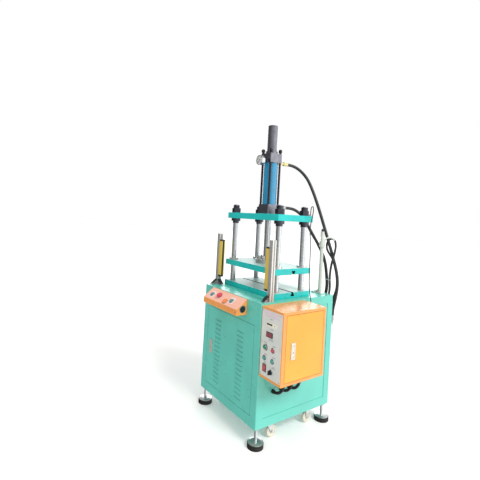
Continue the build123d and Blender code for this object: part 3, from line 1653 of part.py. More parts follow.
# Hoses and the sensor cable: straight runs joined by arcs, through points chosen by hand
cord_routes = {
    "hose_a": (
        hose_radius,
        [
            (0, 121, 1777),
            (0, 167, 1777),
            (11, 212, 1763),
            (34, 243, 1736),
            (85, 262, 1677),
            (142, 273, 1570),
            (196, 288, 1435),
            (238, 311, 1296),
            (285, 334, 1150),
            (333, 340, 1015),
            (342, 342, 922),
            (318, 348, 812),
            (299, 355, 755),
            (299, 355, 715),
        ],
    ),
    "hose_b": (
        hose_radius,
        [
            (0, 121, 1457),
            (0, 175, 1457),
            (10, 221, 1447),
            (34, 256, 1418),
            (76, 278, 1358),
            (118, 293, 1285),
            (168, 320, 1200),
            (214, 341, 1105),
            (231, 351, 1000),
            (241, 355, 890),
            (200, 355, 765),
            (200, 355, 715),
        ],
    ),
    "hose_c": (
        return_hose_radius,
        [
            (233, 355, 715),
            (233, 355, 765),
            (268, 354, 885),
            (266, 344, 975),
            (290, 322, 1052),
            (317, 306, 1112),
            (317, 324, 1158),
            (307, 346, 1203),
            (280, 366, 1243),
            (240, 376, 1254),
            (203, 379, 1232),
            (197, 374, 1190),
            (222, 363, 1154),
            (284, 352, 1108),
            (318, 356, 1015),
            (327, 358, 930),
            (302, 359, 842),
            (266, 355, 765),
            (266, 355, 715),
        ],
    ),
    "sensor_cable": (
        cable_radius,
        [
            (268, 114, 1417),
            (268, 114, 1440),
            (275, 111, 1462),
            (290, 106, 1470),
            (305, 100, 1460),
            (310, 95, 1436),
            (309, 88, 1398),
            (309, 72, 1335),
            (322, 64, 1262),
            (338, 54, 1190),
            (345, 48, 1110),
            (349, 45, 1030),
            (348, 49, 950),
            (350, 64, 870),
            (352, 82, 815),
            (352, 84, 786),
            (352, 68, 768),
            (352, 48, 768),
        ],
    ),
}


def corner_radii(points):
    """The arc at each inner point: as large as the two runs beside it allow."""
    radii = []
    for before, here, after in zip(points, points[1:], points[2:]):
        arriving = here - before
        leaving = after - here
        turn = math.radians(arriving.get_angle(leaving))
        shorter = min(arriving.length, leaving.length)
        radii.append(0.45 * shorter / math.tan(turn / 2))
    return radii


for name, (radius, route) in cord_routes.items():
    places = [Vector(frame_x + x, frame_y + y, z) for x, y, z in route]
    arcs = corner_radii(places)
    with BuildPart() as cord:
        with BuildLine() as path:
            centre_line = FilletPolyline(*places, radius=arcs)
        with BuildSketch(Plane(centre_line @ 0, z_dir=centre_line % 0)) as section:
            Circle(radius)
        sweep(section.sketch, path=path.line)
    ideal = math.pi * radius**2 * centre_line.length
    print(name, "length", round(centre_line.length), "radii", [round(r) for r in arcs])
    print(name, "volume over section times length", round(cord.part.volume / ideal, 4))
    cord.part.label = name
    export_step(cord.part, f"parts/{name}.step")
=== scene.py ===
import json
import math

import bmesh
import bpy
from mathutils import Matrix, Vector


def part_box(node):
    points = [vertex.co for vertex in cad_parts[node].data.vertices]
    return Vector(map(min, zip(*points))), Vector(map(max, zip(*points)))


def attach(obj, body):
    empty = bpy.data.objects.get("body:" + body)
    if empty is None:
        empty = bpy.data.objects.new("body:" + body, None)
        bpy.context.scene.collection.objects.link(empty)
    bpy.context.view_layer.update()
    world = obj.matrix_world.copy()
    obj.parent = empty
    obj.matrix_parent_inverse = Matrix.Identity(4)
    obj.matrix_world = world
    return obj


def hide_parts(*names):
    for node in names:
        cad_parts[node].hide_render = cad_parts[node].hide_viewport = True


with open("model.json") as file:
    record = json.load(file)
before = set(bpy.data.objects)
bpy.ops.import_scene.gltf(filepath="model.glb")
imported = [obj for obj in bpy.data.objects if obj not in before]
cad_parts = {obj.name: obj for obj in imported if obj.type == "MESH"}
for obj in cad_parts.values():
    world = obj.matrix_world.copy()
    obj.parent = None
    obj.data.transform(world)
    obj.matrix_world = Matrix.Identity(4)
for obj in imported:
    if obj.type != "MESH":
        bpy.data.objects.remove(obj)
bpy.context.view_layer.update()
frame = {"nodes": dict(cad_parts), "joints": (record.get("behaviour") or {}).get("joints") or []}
scene = bpy.context.scene

# Places are written in millimetres from the middle of the cabinet, as the solids are
cabinet_low, cabinet_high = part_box("cabinet_shell")
FRAME_X = round((cabinet_low.x + cabinet_high.x) * 500, 1)
FRAME_Y = round((cabinet_low.y + cabinet_high.y) * 500, 1)


def at(x, y, z):
    """A place in millimetres from the middle of the cabinet, as a place in the row frame."""
    return Vector((x + FRAME_X, y + FRAME_Y, z)) / 1000


class Box:
    """Sides and middle of a solid, in millimetres from the middle of the cabinet, to a tenth."""

    def __init__(self, node):
        low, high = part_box(node)
        self.left = round(low.x * 1000 - FRAME_X, 1)
        self.right = round(high.x * 1000 - FRAME_X, 1)
        self.front = round(low.y * 1000 - FRAME_Y, 1)
        self.back = round(high.y * 1000 - FRAME_Y, 1)
        self.bottom = round(low.z * 1000, 1)
        self.top = round(high.z * 1000, 1)
        self.x = (self.left + self.right) / 2
        self.y = (self.front + self.back) / 2
        self.z = (self.bottom + self.top) / 2


# Camera at the photograph's place, with its tilt and the off-centre picture
SENSOR_WIDTH = 36
CAMERA_PLACE = (1945.0, -1676.0, 1373.4)
CAMERA_YAW = 0.94895
CAMERA_PITCH = 0.00921
CAMERA_ROLL = 0.05436
FOCAL_PIXELS = 355.24
PICTURE_PIXELS = 480.0
CENTRE_ROW = 213.5

forward = Vector((
    -math.sin(CAMERA_YAW) * math.cos(CAMERA_PITCH),
    math.cos(CAMERA_YAW) * math.cos(CAMERA_PITCH),
    math.sin(CAMERA_PITCH),
))
level = Vector((math.cos(CAMERA_YAW), math.sin(CAMERA_YAW), 0))
upright = level.cross(forward)
right = math.cos(CAMERA_ROLL) * level + math.sin(CAMERA_ROLL) * upright
up = math.cos(CAMERA_ROLL) * upright - math.sin(CAMERA_ROLL) * level
camera_data = bpy.data.cameras.new("camera")
camera_data.sensor_width = SENSOR_WIDTH
camera_data.lens = FOCAL_PIXELS / PICTURE_PIXELS * SENSOR_WIDTH
camera_data.shift_y = (CENTRE_ROW - PICTURE_PIXELS / 2) / PICTURE_PIXELS
camera = bpy.data.objects.new("camera", camera_data)
scene.collection.objects.link(camera)
turned = Matrix((right, up, -forward)).transposed().to_4x4()
camera.matrix_world = Matrix.Translation(at(*CAMERA_PLACE)) @ turned
scene.camera = camera

# Hoses and the sensor cable, on the routes of their solids: radius, length, stiffness and points
CORD_SIDES = 6
CORD_STEPS = 16
CORDS = {
    "hose_a": (11.0, 1239, "stiff", [
        (0, 121, 1777), (0, 167, 1777), (11, 212, 1763), (34, 243, 1736), (85, 262, 1677),
        (142, 273, 1570), (196, 288, 1435), (238, 311, 1296), (285, 334, 1150), (333, 340, 1015),
        (342, 342, 922), (318, 348, 812), (299, 355, 755), (299, 355, 715),
    ]),
    "hose_b": (11.0, 920, "stiff", [
        (0, 121, 1457), (0, 175, 1457), (10, 221, 1447), (34, 256, 1418), (76, 278, 1358),
        (118, 293, 1285), (168, 320, 1200), (214, 341, 1105), (231, 351, 1000), (241, 355, 890),
        (200, 355, 765), (200, 355, 715),
    ]),
    "hose_c": (7.5, 1219, "stiff", [
        (233, 355, 715), (233, 355, 765), (268, 354, 885), (266, 344, 975), (290, 322, 1052),
        (317, 306, 1112), (317, 324, 1158), (307, 346, 1203), (280, 366, 1243), (240, 376, 1254),
        (203, 379, 1232), (197, 374, 1190), (222, 363, 1154), (284, 352, 1108), (318, 356, 1015),
        (327, 358, 930), (302, 359, 842), (266, 355, 765), (266, 355, 715),
    ]),
    "sensor_cable": (3.0, 809, "medium", [
        (268, 114, 1417), (268, 114, 1440), (275, 111, 1462), (290, 106, 1470), (305, 100, 1460),
        (310, 95, 1436), (309, 88, 1398), (309, 72, 1335), (322, 64, 1262), (338, 54, 1190),
        (345, 48, 1110), (349, 45, 1030), (348, 49, 950), (350, 64, 870), (352, 82, 815),
        (352, 84, 786), (352, 68, 768), (352, 48, 768),
    ]),
}
cords = {}
for node, (radius, length, stiffness, points) in CORDS.items():
    curve = bpy.data.curves.new(node + "_line", "CURVE")
    curve.dimensions = "3D"
    curve.bevel_depth = 1.0
    curve.bevel_resolution = CORD_SIDES
    curve.use_fill_caps = True
    spline = curve.splines.new("NURBS")
    spline.points.add(len(points) - 1)
    for point, place in zip(spline.points, points):
        point.co = (*at(*place), 1)
        point.radius = radius / 1000
    spline.order_u = 3
    spline.use_endpoint_u = True
    spline.resolution_u = CORD_STEPS
    cord = bpy.data.objects.new(node + "_line", curve)
    scene.collection.objects.link(cord)
    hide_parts(node)
    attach(cord, "press_frame")
    cords[node] = cord


# Materials: each one has a base finish and regions with a finish of their own
EDGE_RADIUS = 0.0012
SCUFF_SCALE = 60
SCUFF_RANGE = (0.42, 0.62, 0.2, 1.0)
EDGE_START = 0.995
EDGE_END = 0.93
WORN_LIGHTER = 60
CLOUD_RANGE = (0.3, 0.7, 0.0, 1.0)
WIPE_RANGE = (0.25, 0.75)
SMOOTHEST = 0.82
ROUGHEST = 1.18
GRAIN_STRENGTH = 0.25
GRAIN_DEPTH = 0.0004
COAT_ROUGHNESS = 0.08


def srgb(red, green, blue):
    """A colour in steps of 255, as the values that the shader takes."""
    steps = (red / 255, green / 255, blue / 255)
    return (*(v / 12.92 if v <= 0.04045 else ((v + 0.055) / 1.055) ** 2.4 for v in steps), 1)


def finish(colour, roughness, metallic=0.0, mottle=0.06, spots=9.0, grain=700.0, relief=0.15,
           stretch=(1, 1, 1), wear=0.0):
    """One finish: colour in steps of 255, how much it varies, its grain and the wear of its edges."""
    return {
        "colour": colour, "roughness": roughness, "metallic": metallic, "mottle": mottle,
        "spots": spots, "grain": grain, "relief": relief, "stretch": stretch, "wear": wear,
    }


class Look:
    """The nodes of one procedural material, worked out from places on the object."""

    def __init__(self, name):
        self.material = bpy.data.materials.new(name)
        self.material.use_nodes = True
        self.nodes = self.material.node_tree.nodes
        self.links = self.material.node_tree.links
        self.shader = self.nodes["Principled BSDF"]
        coordinates = self.add("ShaderNodeTexCoord")
        self.place = coordinates.outputs["Object"]
        self.axes = self.add("ShaderNodeSeparateXYZ", {0: self.place}).outputs
        self.slopes = self.add("ShaderNodeSeparateXYZ", {0: coordinates.outputs["Normal"]}).outputs
        self.rounded = self.add("ShaderNodeBevel", {0: EDGE_RADIUS}, samples=4).outputs[0]

    def add(self, kind, values=None, **settings):
        """Adds a node, with a value or a link for each input that is named."""
        node = self.nodes.new(kind)
        for key, value in settings.items():
            setattr(node, key, value)
        for key, value in (values or {}).items():
            if isinstance(value, bpy.types.NodeSocket):
                self.links.new(value, node.inputs[key])
            else:
                node.inputs[key].default_value = value
        return node

    def noise(self, scale, stretch=(1, 1, 1), detail=4.0):
        """Noise from 0 to 1 at the places of the object."""
        mapped = self.add("ShaderNodeMapping", {"Vector": self.place, "Scale": stretch}).outputs[0]
        values = {"Vector": mapped, "Scale": scale, "Detail": detail}
        return self.add("ShaderNodeTexNoise", values).outputs[0]

    def ranged(self, value, low, high, start, end):
        """A value that runs from low to high, as one that runs from start to end."""
        values = {0: value, 1: low, 2: high, 3: start, 4: end}
        return self.add("ShaderNodeMapRange", values).outputs[0]

    def sums(self, operation, *values):
        """One sum of numbers or of outputs of nodes."""
        return self.add("ShaderNodeMath", dict(enumerate(values)), operation=operation).outputs[0]

    def blend(self, factor, first, second):
        """The first value where the factor is 0, the second where it is 1."""
        values = {0: factor, 2: first, 3: second}
        return self.add("ShaderNodeMix", values, data_type="FLOAT").outputs[0]

    def tint(self, factor, first, second):
        """The first colour where the factor is 0, the second where it is 1."""
        values = {0: factor, 6: first, 7: second}
        return self.add("ShaderNodeMix", values, data_type="RGBA").outputs[2]

    def within(self, region):
        """1 inside a region, which is a list of (axis, middle, half width) in millimetres.

        The axes nx, ny and nz are those of the normal, round is a circle seen from the front, and rows
        are bands that repeat upwards.
        """
        inside = None
        for axis, middle, half in region:
            if axis.startswith("n"):
                test = self.sums("COMPARE", self.slopes["xyz".index(axis[1])], middle, half)
            elif axis == "round":
                values = {0: self.place, 1: (1, 0, 1)}
                flatten = self.add("ShaderNodeVectorMath", values, operation="MULTIPLY")
                hub = at(*middle)
                values = {0: flatten.outputs[0], 1: (hub.x, 0, hub.z)}
                away = self.add("ShaderNodeVectorMath", values, operation="DISTANCE").outputs["Value"]
                test = self.sums("LESS_THAN", away, half / 1000)
            elif axis == "rows":
                first, pitch = middle
                highest = (first + pitch / 2) / 1000
                lowest = (first - pitch / 2) / 1000
                wrapped = self.sums("WRAP", self.axes[2], highest, lowest)
                test = self.sums("COMPARE", wrapped, first / 1000, half / 1000)
            else:
                index = "xyz".index(axis)
                shift = (FRAME_X, FRAME_Y, 0)[index]
                test = self.sums("COMPARE", self.axes[index], (middle + shift) / 1000, half / 1000)
            inside = test if inside is None else self.sums("MULTIPLY", inside, test)
        return inside


def surface(name, base, regions=(), coat=0.0):
    """A material of one base finish, with other finishes inside regions."""
    look = Look(name)
    colour = roughness = metallic = height = None
    layers = [(None, base)] + [(look.within(region), other) for region, other in regions]
    mixed_metal = any(other["metallic"] != base["metallic"] for _, other in layers)
    edge = None
    if base["wear"]:
        normal = look.add("ShaderNodeNewGeometry").outputs["Normal"]
        values = {0: look.rounded, 1: normal}
        facing = look.add("ShaderNodeVectorMath", values, operation="DOT_PRODUCT").outputs["Value"]
        scuffs = look.ranged(look.noise(SCUFF_SCALE, detail=6.0), *SCUFF_RANGE)
        turned_away = look.ranged(facing, EDGE_START, EDGE_END, 0.0, base["wear"])
        edge = look.sums("MULTIPLY", turned_away, scuffs)
    for inside, part in layers:
        pale = srgb(*(min(255, v * (1 + part["mottle"])) for v in part["colour"]))
        deep = srgb(*(v * (1 - part["mottle"]) for v in part["colour"]))
        cloud = look.ranged(look.noise(part["spots"], part["stretch"]), *CLOUD_RANGE)
        own_colour = look.tint(cloud, deep, pale)
        grain = look.noise(part["grain"], part["stretch"], 2.0)
        wipe = look.noise(part["spots"] * 3, part["stretch"])
        smooth = part["roughness"] * SMOOTHEST
        rough = part["roughness"] * ROUGHEST
        own_rough = look.ranged(wipe, *WIPE_RANGE, smooth, rough)
        own_height = look.sums("MULTIPLY", grain, part["relief"])
        if inside is None:
            colour, roughness, height = own_colour, own_rough, own_height
            metallic = base["metallic"]
        else:
            colour = look.tint(inside, colour, own_colour)
            roughness = look.blend(inside, roughness, own_rough)
            height = look.blend(inside, height, own_height)
            if mixed_metal:
                metallic = look.blend(inside, metallic, part["metallic"])
    if edge is not None:
        worn = srgb(*(min(255, v + WORN_LIGHTER) for v in base["colour"]))
        colour = look.tint(edge, colour, worn)
    values = {"Strength": GRAIN_STRENGTH, "Distance": GRAIN_DEPTH, "Height": height, "Normal": look.rounded}
    bump = look.add("ShaderNodeBump", values)
    look.links.new(bump.outputs[0], look.shader.inputs["Normal"])
    look.links.new(colour, look.shader.inputs["Base Color"])
    look.links.new(roughness, look.shader.inputs["Roughness"])
    if mixed_metal:
        look.links.new(metallic, look.shader.inputs["Metallic"])
    else:
        look.shader.inputs["Metallic"].default_value = metallic
    look.shader.inputs["Coat Weight"].default_value = coat
    look.shader.inputs["Coat Roughness"].default_value = COAT_ROUGHNESS
    return look.material


def dress(material, *names):
    """Puts a material on nodes of the solids."""
    for name in names:
        for spot in frame["nodes"][name].material_slots:
            spot.material = material


TEAL = finish((99, 200, 184), 0.3, mottle=0.03, spots=5, grain=420, relief=0.2, wear=0.55)
# Darker teal: painted shade under the lips of the door's louvres
PAINTED_SHADE_TEAL = finish((68, 152, 138), 0.45, mottle=0.05, spots=40, grain=420, relief=0.5)
DEEP_TEAL = finish((0, 192, 188), 0.3, mottle=0.05, spots=8, grain=380, relief=0.3, wear=0.6)
ORANGE = finish((240, 158, 80), 0.28, mottle=0.03, spots=6, grain=520, relief=0.3, wear=0.4)
# Lighter, yellower orange: a painted lit copy of the box orange, for the box door that faces the light
LIT_DOOR_ORANGE = finish((246, 168, 58), 0.36, mottle=0.04, spots=4, grain=520, relief=0.6, wear=0.4)
# Paler, pinker orange: painted glare on the sloping top of the two-hand box
PAINTED_GLARE_PEACH = finish((250, 186, 162), 0.34, mottle=0.03, spots=6, grain=520, relief=0.5)
BLUE = finish((26, 138, 182), 0.2, mottle=0.04, spots=12, grain=300, relief=0.3)
GUNMETAL = finish((118, 118, 126), 0.24, metallic=1.0, mottle=0.08, spots=26, grain=500, relief=0.4)
NUT_STEEL = finish((72, 72, 80), 0.3, metallic=1.0, mottle=0.08, spots=26, grain=500, relief=0.4)
BLACK_STEEL = finish((46, 45, 50), 0.34, metallic=0.6, mottle=0.12, spots=26, grain=500, relief=0.5)
GROUND = finish(
    (186, 206, 203), 0.55, metallic=0.35, mottle=0.04, spots=30, grain=240, relief=0.5, stretch=(1, 14, 1),
)
CHROME = finish(
    (182, 186, 188), 0.16, metallic=1.0, mottle=0.03, spots=10, grain=60, relief=0.1, stretch=(1, 1, 8),
)
STEEL = finish((196, 198, 198), 0.32, metallic=1.0, mottle=0.06, spots=40, grain=600, relief=0.4)
MACHINED = finish(
    (120, 122, 124), 0.42, metallic=1.0, mottle=0.1, spots=40, grain=500, relief=0.5, stretch=(12, 1, 1),
)
ALUMINIUM = finish(
    (196, 195, 190), 0.38, metallic=0.6, mottle=0.03, spots=20, grain=700, relief=0.5, stretch=(1, 1, 0.03),
)
YELLOW = finish(
    (222, 190, 80), 0.42, metallic=0.1, mottle=0.04, spots=14, grain=700, relief=0.4, stretch=(1, 1, 0.1),
)
BLACK_PLASTIC = finish((26, 27, 29), 0.4, mottle=0.08, spots=60, grain=900, relief=0.6)
RUBBER = finish((38, 42, 42), 0.5, mottle=0.12, spots=70, grain=800, relief=1.2)
FOOT_RUBBER = finish((38, 37, 36), 0.78, mottle=0.14, spots=50, grain=500, relief=1.6)
WHITE_PAINT = finish((206, 212, 202), 0.34, mottle=0.03, spots=14, grain=500, relief=0.5, wear=0.1)
LOCK_PLATE = finish((204, 202, 190), 0.4, metallic=0.35, mottle=0.03, spots=30, grain=700, relief=0.3)
PANEL_GREY = finish((222, 224, 218), 0.42, metallic=0.1, mottle=0.02, spots=12, grain=800, relief=0.3)
ZINC = finish((178, 180, 178), 0.36, metallic=0.9, mottle=0.09, spots=55, grain=400, relief=0.6)
BRASS = finish((214, 196, 140), 0.32, metallic=0.9, mottle=0.08, spots=50, grain=400, relief=0.4)
NYLON = finish((226, 220, 202), 0.5, mottle=0.04, spots=40, grain=600, relief=0.6)
JOG_GREEN = finish((84, 160, 150), 0.32, mottle=0.05, spots=60, grain=900, relief=0.3)
PANEL_RED = finish((190, 84, 94), 0.32, mottle=0.05, spots=60, grain=900, relief=0.3)
START_GREEN = finish((88, 138, 138), 0.3, mottle=0.05, spots=60, grain=900, relief=0.3)
GREEN_PLASTIC = finish((44, 146, 112), 0.3, mottle=0.05, spots=60, grain=900, relief=0.3)
RED_PLASTIC = finish((214, 66, 84), 0.3, mottle=0.05, spots=60, grain=900, relief=0.3)
ORANGE_PLASTIC = finish((240, 134, 54), 0.3, mottle=0.05, spots=60, grain=900, relief=0.3)
CAST_GREY = finish((138, 146, 148), 0.55, metallic=0.2, mottle=0.1, spots=35, grain=260, relief=2.0)
DIAL_WHITE = finish((242, 242, 238), 0.5, mottle=0.01, spots=30, grain=800, relief=0.1)
CREAM = finish((238, 234, 216), 0.4, mottle=0.02, spots=30, grain=800, relief=0.2)
LENS_RED = finish((146, 76, 86), 0.2, mottle=0.08, spots=90, grain=900, relief=0.1)
TANK_GREY = finish((150, 160, 162), 0.45, spots=8, relief=0.6, wear=0.4)
MOTOR_BLUE = finish((70, 104, 128), 0.5, spots=20, grain=300, relief=1.4)

# Solids that the regions and the trim are placed by
bed = Box("bed_plate")
platen = Box("moving_platen")
door = Box("front_door")
front_lever = Box("front_lock_lever")
box_lever = Box("box_lock_lever")
gauge = Box("gauge_case")
curtains = Box("light_curtains")
pole = Box("hose_pole")
hand_box = Box("two_hand_box")
panel = Box("control_panel")

# Sizes of the regions in millimetres, and their distances from the sides of these solids
SLOT_MIDDLE = 12.3
SLOT_HALF_DEPTH = 11.8
SLOT_HALF_WIDTH = 15.4
LOCK_HALF_WIDTH = 16.4
LOCK_HALF_HEIGHT = 47.4
LEVER_BELOW_LOCK = 32.8
LOUVRE_X = 130
LOUVRE_HALF_WIDTH = 34
LOUVRE_LIP = 48
LOUVRE_PITCH = 30.0
LOUVRES_MIDDLE = 254
LOUVRES_HALF_HEIGHT = 214
BAND_DROP = 4
BAND_HALF_HEIGHT = 4.2
DIAL_DEPTH = 5
DIAL_RADIUS = 31.2
CURTAIN_BODY_MIDDLE = 137.5
CURTAIN_BODY_HALF = 124.6
CURTAIN_GLASS_INSET = 31.4
CURTAIN_GLASS_DEPTH = 1.3
CURTAIN_GLASS_HALF_WIDTH = 7.4
POLE_INSET = 64
POLE_PLUG_DROP = 7
POLE_PLUG_HALF_WIDTH = 12
POLE_PLUG_HALF_HEIGHT = 10.9
SLOPE_HALF_DEPTH = 42
FRAMES_DEPTH = 5
FRAMES_HALF_DEPTH = 14
DISPLAY_X = -14
DISPLAY_Z = 54
DISPLAY_HALF_WIDTH = 28
DISPLAY_HALF_HEIGHT = 16
DISPLAY_GLASS_OUT = 2.5
DISPLAY_GLASS_HALF_DEPTH = 0.8
DISPLAY_GLASS_HALF_WIDTH = 24.2
DISPLAY_GLASS_HALF_HEIGHT = 12.2
ROCKER_X = -46
ROCKER_Z = -144
ROCKER_HALF_WIDTH = 16
ROCKER_HALF_HEIGHT = 24
TIMER_Z = 113
TIMER_KNOB_HALF = 12.6
TIMER_KNOB_OUT = 1
TIMER_KNOB_HALF_DEPTH = 6

# The sloping top of the two-hand box faces the way that its buttons come out
axes = {joint["name"]: joint["axis"] for joint in frame["joints"]}
start_axis = axes["left_start_press"]
SLOPE_OUT = start_axis[1]
SLOPE_UP = -start_axis[2]

# Heights of the middles of the two locks
front_lock_z = front_lever.bottom + LEVER_BELOW_LOCK
box_lock_z = box_lever.bottom + LEVER_BELOW_LOCK

# Painted and turned nodes of the machine
dress(surface("cabinet_paint", TEAL), "cabinet_shell", "access_panels")
door_lock = [("x", front_lever.x, LOCK_HALF_WIDTH), ("z", front_lock_z, LOCK_HALF_HEIGHT)]
# Bands of darker teal under each louvre lip on the door face: painted shade where the lips cast their
# shadow
first_band = door.bottom + LOUVRE_LIP - BAND_DROP
painted_shade_under_lips = [
    ("rows", (first_band, LOUVRE_PITCH), BAND_HALF_HEIGHT),
    ("z", door.bottom + LOUVRES_MIDDLE, LOUVRES_HALF_HEIGHT), ("ny", -1, 0.3),
]
left_louvres = painted_shade_under_lips + [("x", -LOUVRE_X, LOUVRE_HALF_WIDTH)]
right_louvres = painted_shade_under_lips + [("x", LOUVRE_X, LOUVRE_HALF_WIDTH)]
door_layers = [(door_lock, LOCK_PLATE), (left_louvres, PAINTED_SHADE_TEAL), (right_louvres, PAINTED_SHADE_TEAL)]
dress(surface("door_paint", TEAL, door_layers), "front_door")
dress(surface("lock_lever", LOCK_PLATE), "front_lock_lever", "box_lock_lever")
bed_face = [("nz", 1, 0.1), ("z", bed.top, 0.5)]
bed_slot = [
    ("y", bed.y, SLOT_HALF_WIDTH), ("z", bed.top - SLOT_MIDDLE, SLOT_HALF_DEPTH), ("nx", 0, 0.5),
]
dress(surface("bed_paint", DEEP_TEAL, [(bed_face, GROUND), (bed_slot, MACHINED)]), "bed_plate")
platen_face = [("nz", 0, 0.9)]
platen_slot = [
    ("y", platen.y, SLOT_HALF_WIDTH), ("z", platen.bottom + SLOT_MIDDLE, SLOT_HALF_DEPTH), ("nx", 0, 0.5),
]
platen_layers = [(platen_face, DEEP_TEAL), (platen_slot, MACHINED)]
dress(surface("platen_steel", GROUND, platen_layers), "moving_platen")
dress(surface("top_plate_paint", DEEP_TEAL), "top_plate")
dress(surface("column_chrome", CHROME), "columns", "ram_rod")
dress(surface("gunmetal", GUNMETAL), "cylinder_caps", "stroke_cover")
dress(surface("nut_steel", NUT_STEEL), "column_nuts")
dress(surface("black_steel", BLACK_STEEL), "tie_rods")
dress(surface("tube_enamel", BLUE, coat=0.6), "cylinder_tube")
dress(surface("flange_steel", STEEL), "ram_flange", "guide_bushes")
dial = [("y", gauge.front + DIAL_DEPTH, 1.2), ("round", (gauge.x, 0, gauge.z), DIAL_RADIUS)]
dress(surface("gauge_chrome", CHROME, [(dial, DIAL_WHITE)]), "gauge_case")
dress(surface("needle_black", BLACK_PLASTIC), "gauge_needle")
dress(surface("post_aluminium", ALUMINIUM), "curtain_posts")
bracket_look = surface("bracket_zinc", ZINC)
dress(bracket_look, "post_brackets", "caster_mounts", "caster_fork_left", "caster_fork_right")
curtain_body = [("z", curtains.bottom + CURTAIN_BODY_MIDDLE, CURTAIN_BODY_HALF)]
curtain_glass = [("y", curtains.y, CURTAIN_GLASS_HALF_WIDTH)]
left_window = [("x", curtains.left + CURTAIN_GLASS_INSET, CURTAIN_GLASS_DEPTH)] + curtain_glass
right_window = [("x", curtains.right - CURTAIN_GLASS_INSET, CURTAIN_GLASS_DEPTH)] + curtain_glass
curtain_layers = [(curtain_body, YELLOW), (left_window, BLACK_PLASTIC), (right_window, BLACK_PLASTIC)]
dress(surface("curtain_yellow", BLACK_PLASTIC, curtain_layers), "light_curtains")
pole_plug = [
    ("z", pole.top - POLE_PLUG_DROP, POLE_PLUG_HALF_HEIGHT),
    ("x", pole.left + POLE_INSET, POLE_PLUG_HALF_WIDTH),
]
dress(surface("pole_white", WHITE_PAINT, [(pole_plug, BLACK_PLASTIC)]), "hose_pole")

# Control boxes
# The sloping top of the two-hand box is painted paler and pinker: a painted highlight of glare from above
slope = [("nz", SLOPE_UP, 0.06), ("y", hand_box.y, SLOPE_HALF_DEPTH)]
dress(surface("box_paint", ORANGE, [(slope, PAINTED_GLARE_PEACH)]), "two_hand_box", "control_box")
box_lock = [("y", box_lever.y, LOCK_HALF_WIDTH), ("z", box_lock_z, LOCK_HALF_HEIGHT)]
# The box door gets a lighter, yellower copy of the box orange: painted light
dress(surface("box_door_paint", LIT_DOOR_ORANGE, [(box_lock, LOCK_PLATE)]), "box_door")
dress(surface("panel_grey", PANEL_GREY), "control_panel")
frames_depth = ("y", panel.front + FRAMES_DEPTH, FRAMES_HALF_DEPTH)
display_x = panel.x + DISPLAY_X
display_z = panel.z + DISPLAY_Z
rocker_frame = [
    ("x", panel.x + ROCKER_X, ROCKER_HALF_WIDTH), frames_depth,
    ("z", panel.z + ROCKER_Z, ROCKER_HALF_HEIGHT),
]
display_frame = [("x", display_x, DISPLAY_HALF_WIDTH), frames_depth, ("z", display_z, DISPLAY_HALF_HEIGHT)]
display_glass = [
    ("x", display_x, DISPLAY_GLASS_HALF_WIDTH),
    ("y", panel.front - DISPLAY_GLASS_OUT, DISPLAY_GLASS_HALF_DEPTH),
    ("z", display_z, DISPLAY_GLASS_HALF_HEIGHT),
]
timer_frame = [
    ("x", display_x, TIMER_KNOB_HALF),
    ("y", panel.front - TIMER_KNOB_OUT, TIMER_KNOB_HALF_DEPTH),
    ("z", panel.z + TIMER_Z, TIMER_KNOB_HALF),
]
bezel_layers = [
    (rocker_frame, BLACK_PLASTIC), (display_frame, BLACK_PLASTIC),
    (display_glass, LENS_RED), (timer_frame, CREAM),
]
dress(surface("bezel_chrome", CHROME, bezel_layers), "button_bezels")
dress(surface("palm_black", BLACK_PLASTIC), "left_palm_button", "right_palm_button", "selector_knob")
dress(surface("start_green", START_GREEN), "left_start_button", "right_start_button")
dress(surface("green_plastic", GREEN_PLASTIC), "panel_green_button")
dress(surface("jog_green", JOG_GREEN), "panel_jog_up_button", "panel_jog_down_button")
dress(surface("panel_red", PANEL_RED), "panel_red_button", "rocker_switch")
dress(surface("red_plastic", RED_PLASTIC), "stop_button")
dress(surface("orange_plastic", ORANGE_PLASTIC), "orange_button")
dress(surface("conduit_black", BLACK_PLASTIC), "conduits")
port_a = [("z", gauge.z, 40)]
dress(surface("fitting_zinc", ZINC, [(port_a, BRASS)]), "hose_fittings")

# Feet, casters and the power unit inside the cabinet
dress(surface("foot_rubber", FOOT_RUBBER), "foot_pads")
dress(surface("foot_steel", STEEL), "foot_studs")
wheels = [f"{end}_caster_wheel_{side}" for end in ("front", "rear") for side in ("left", "right")]
dress(surface("wheel_nylon", NYLON), *wheels)
dress(surface("tank_paint", TANK_GREY), "oil_tank")
dress(surface("motor_paint", MOTOR_BLUE), "motor")
dress(surface("shaft_steel", MACHINED), "motor_rotor")
dress(surface("pump_cast", CAST_GREY), "pump")
dress(surface("manifold_steel", ZINC), "valve_manifold")
hose_look = surface("hose_rubber", RUBBER)
for cord in cords.values():
    cord.data.materials.append(hose_look)


# Pieces of trim, with their places and sizes in millimetres
HAND_BOX_LEDGE = 3
SHARP_ANGLE = math.radians(35)
TO_RIGHT = (1, 0, 0)
TO_FRONT = (0, -1, 0)


def plane(origin, across, out):
    """A frame at a place: x across, z out of the surface."""
    x_axis = Vector(across).normalized()
    z_axis = Vector(out).normalized()
    turn = Matrix((x_axis, z_axis.cross(x_axis), z_axis)).transposed()
    return Matrix.Translation(at(*origin)) @ turn.to_4x4()


def on_slope(x, down):
    """A frame on the sloping top of the two-hand box, at a distance down from its upper edge."""
    y = hand_box.back - HAND_BOX_LEDGE - down * SLOPE_UP
    z = hand_box.top - down * SLOPE_OUT
    return plane((x, y, z), TO_RIGHT, (0, -SLOPE_OUT, SLOPE_UP))


def on_panel(x, z):
    """A frame on the control panel, counted from its middle."""
    return plane((panel.x + x, panel.front, panel.z + z), TO_RIGHT, TO_FRONT)


def piece(name, mesh, material, body="press_frame"):
    """Links a finished mesh as a piece that rides on a body."""
    for polygon in mesh.polygons:
        polygon.use_smooth = True
    mesh.set_sharp_from_angle(angle=SHARP_ANGLE)
    mesh.materials.append(material)
    obj = bpy.data.objects.new(name, mesh)
    scene.collection.objects.link(obj)
    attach(obj, body)
    return obj


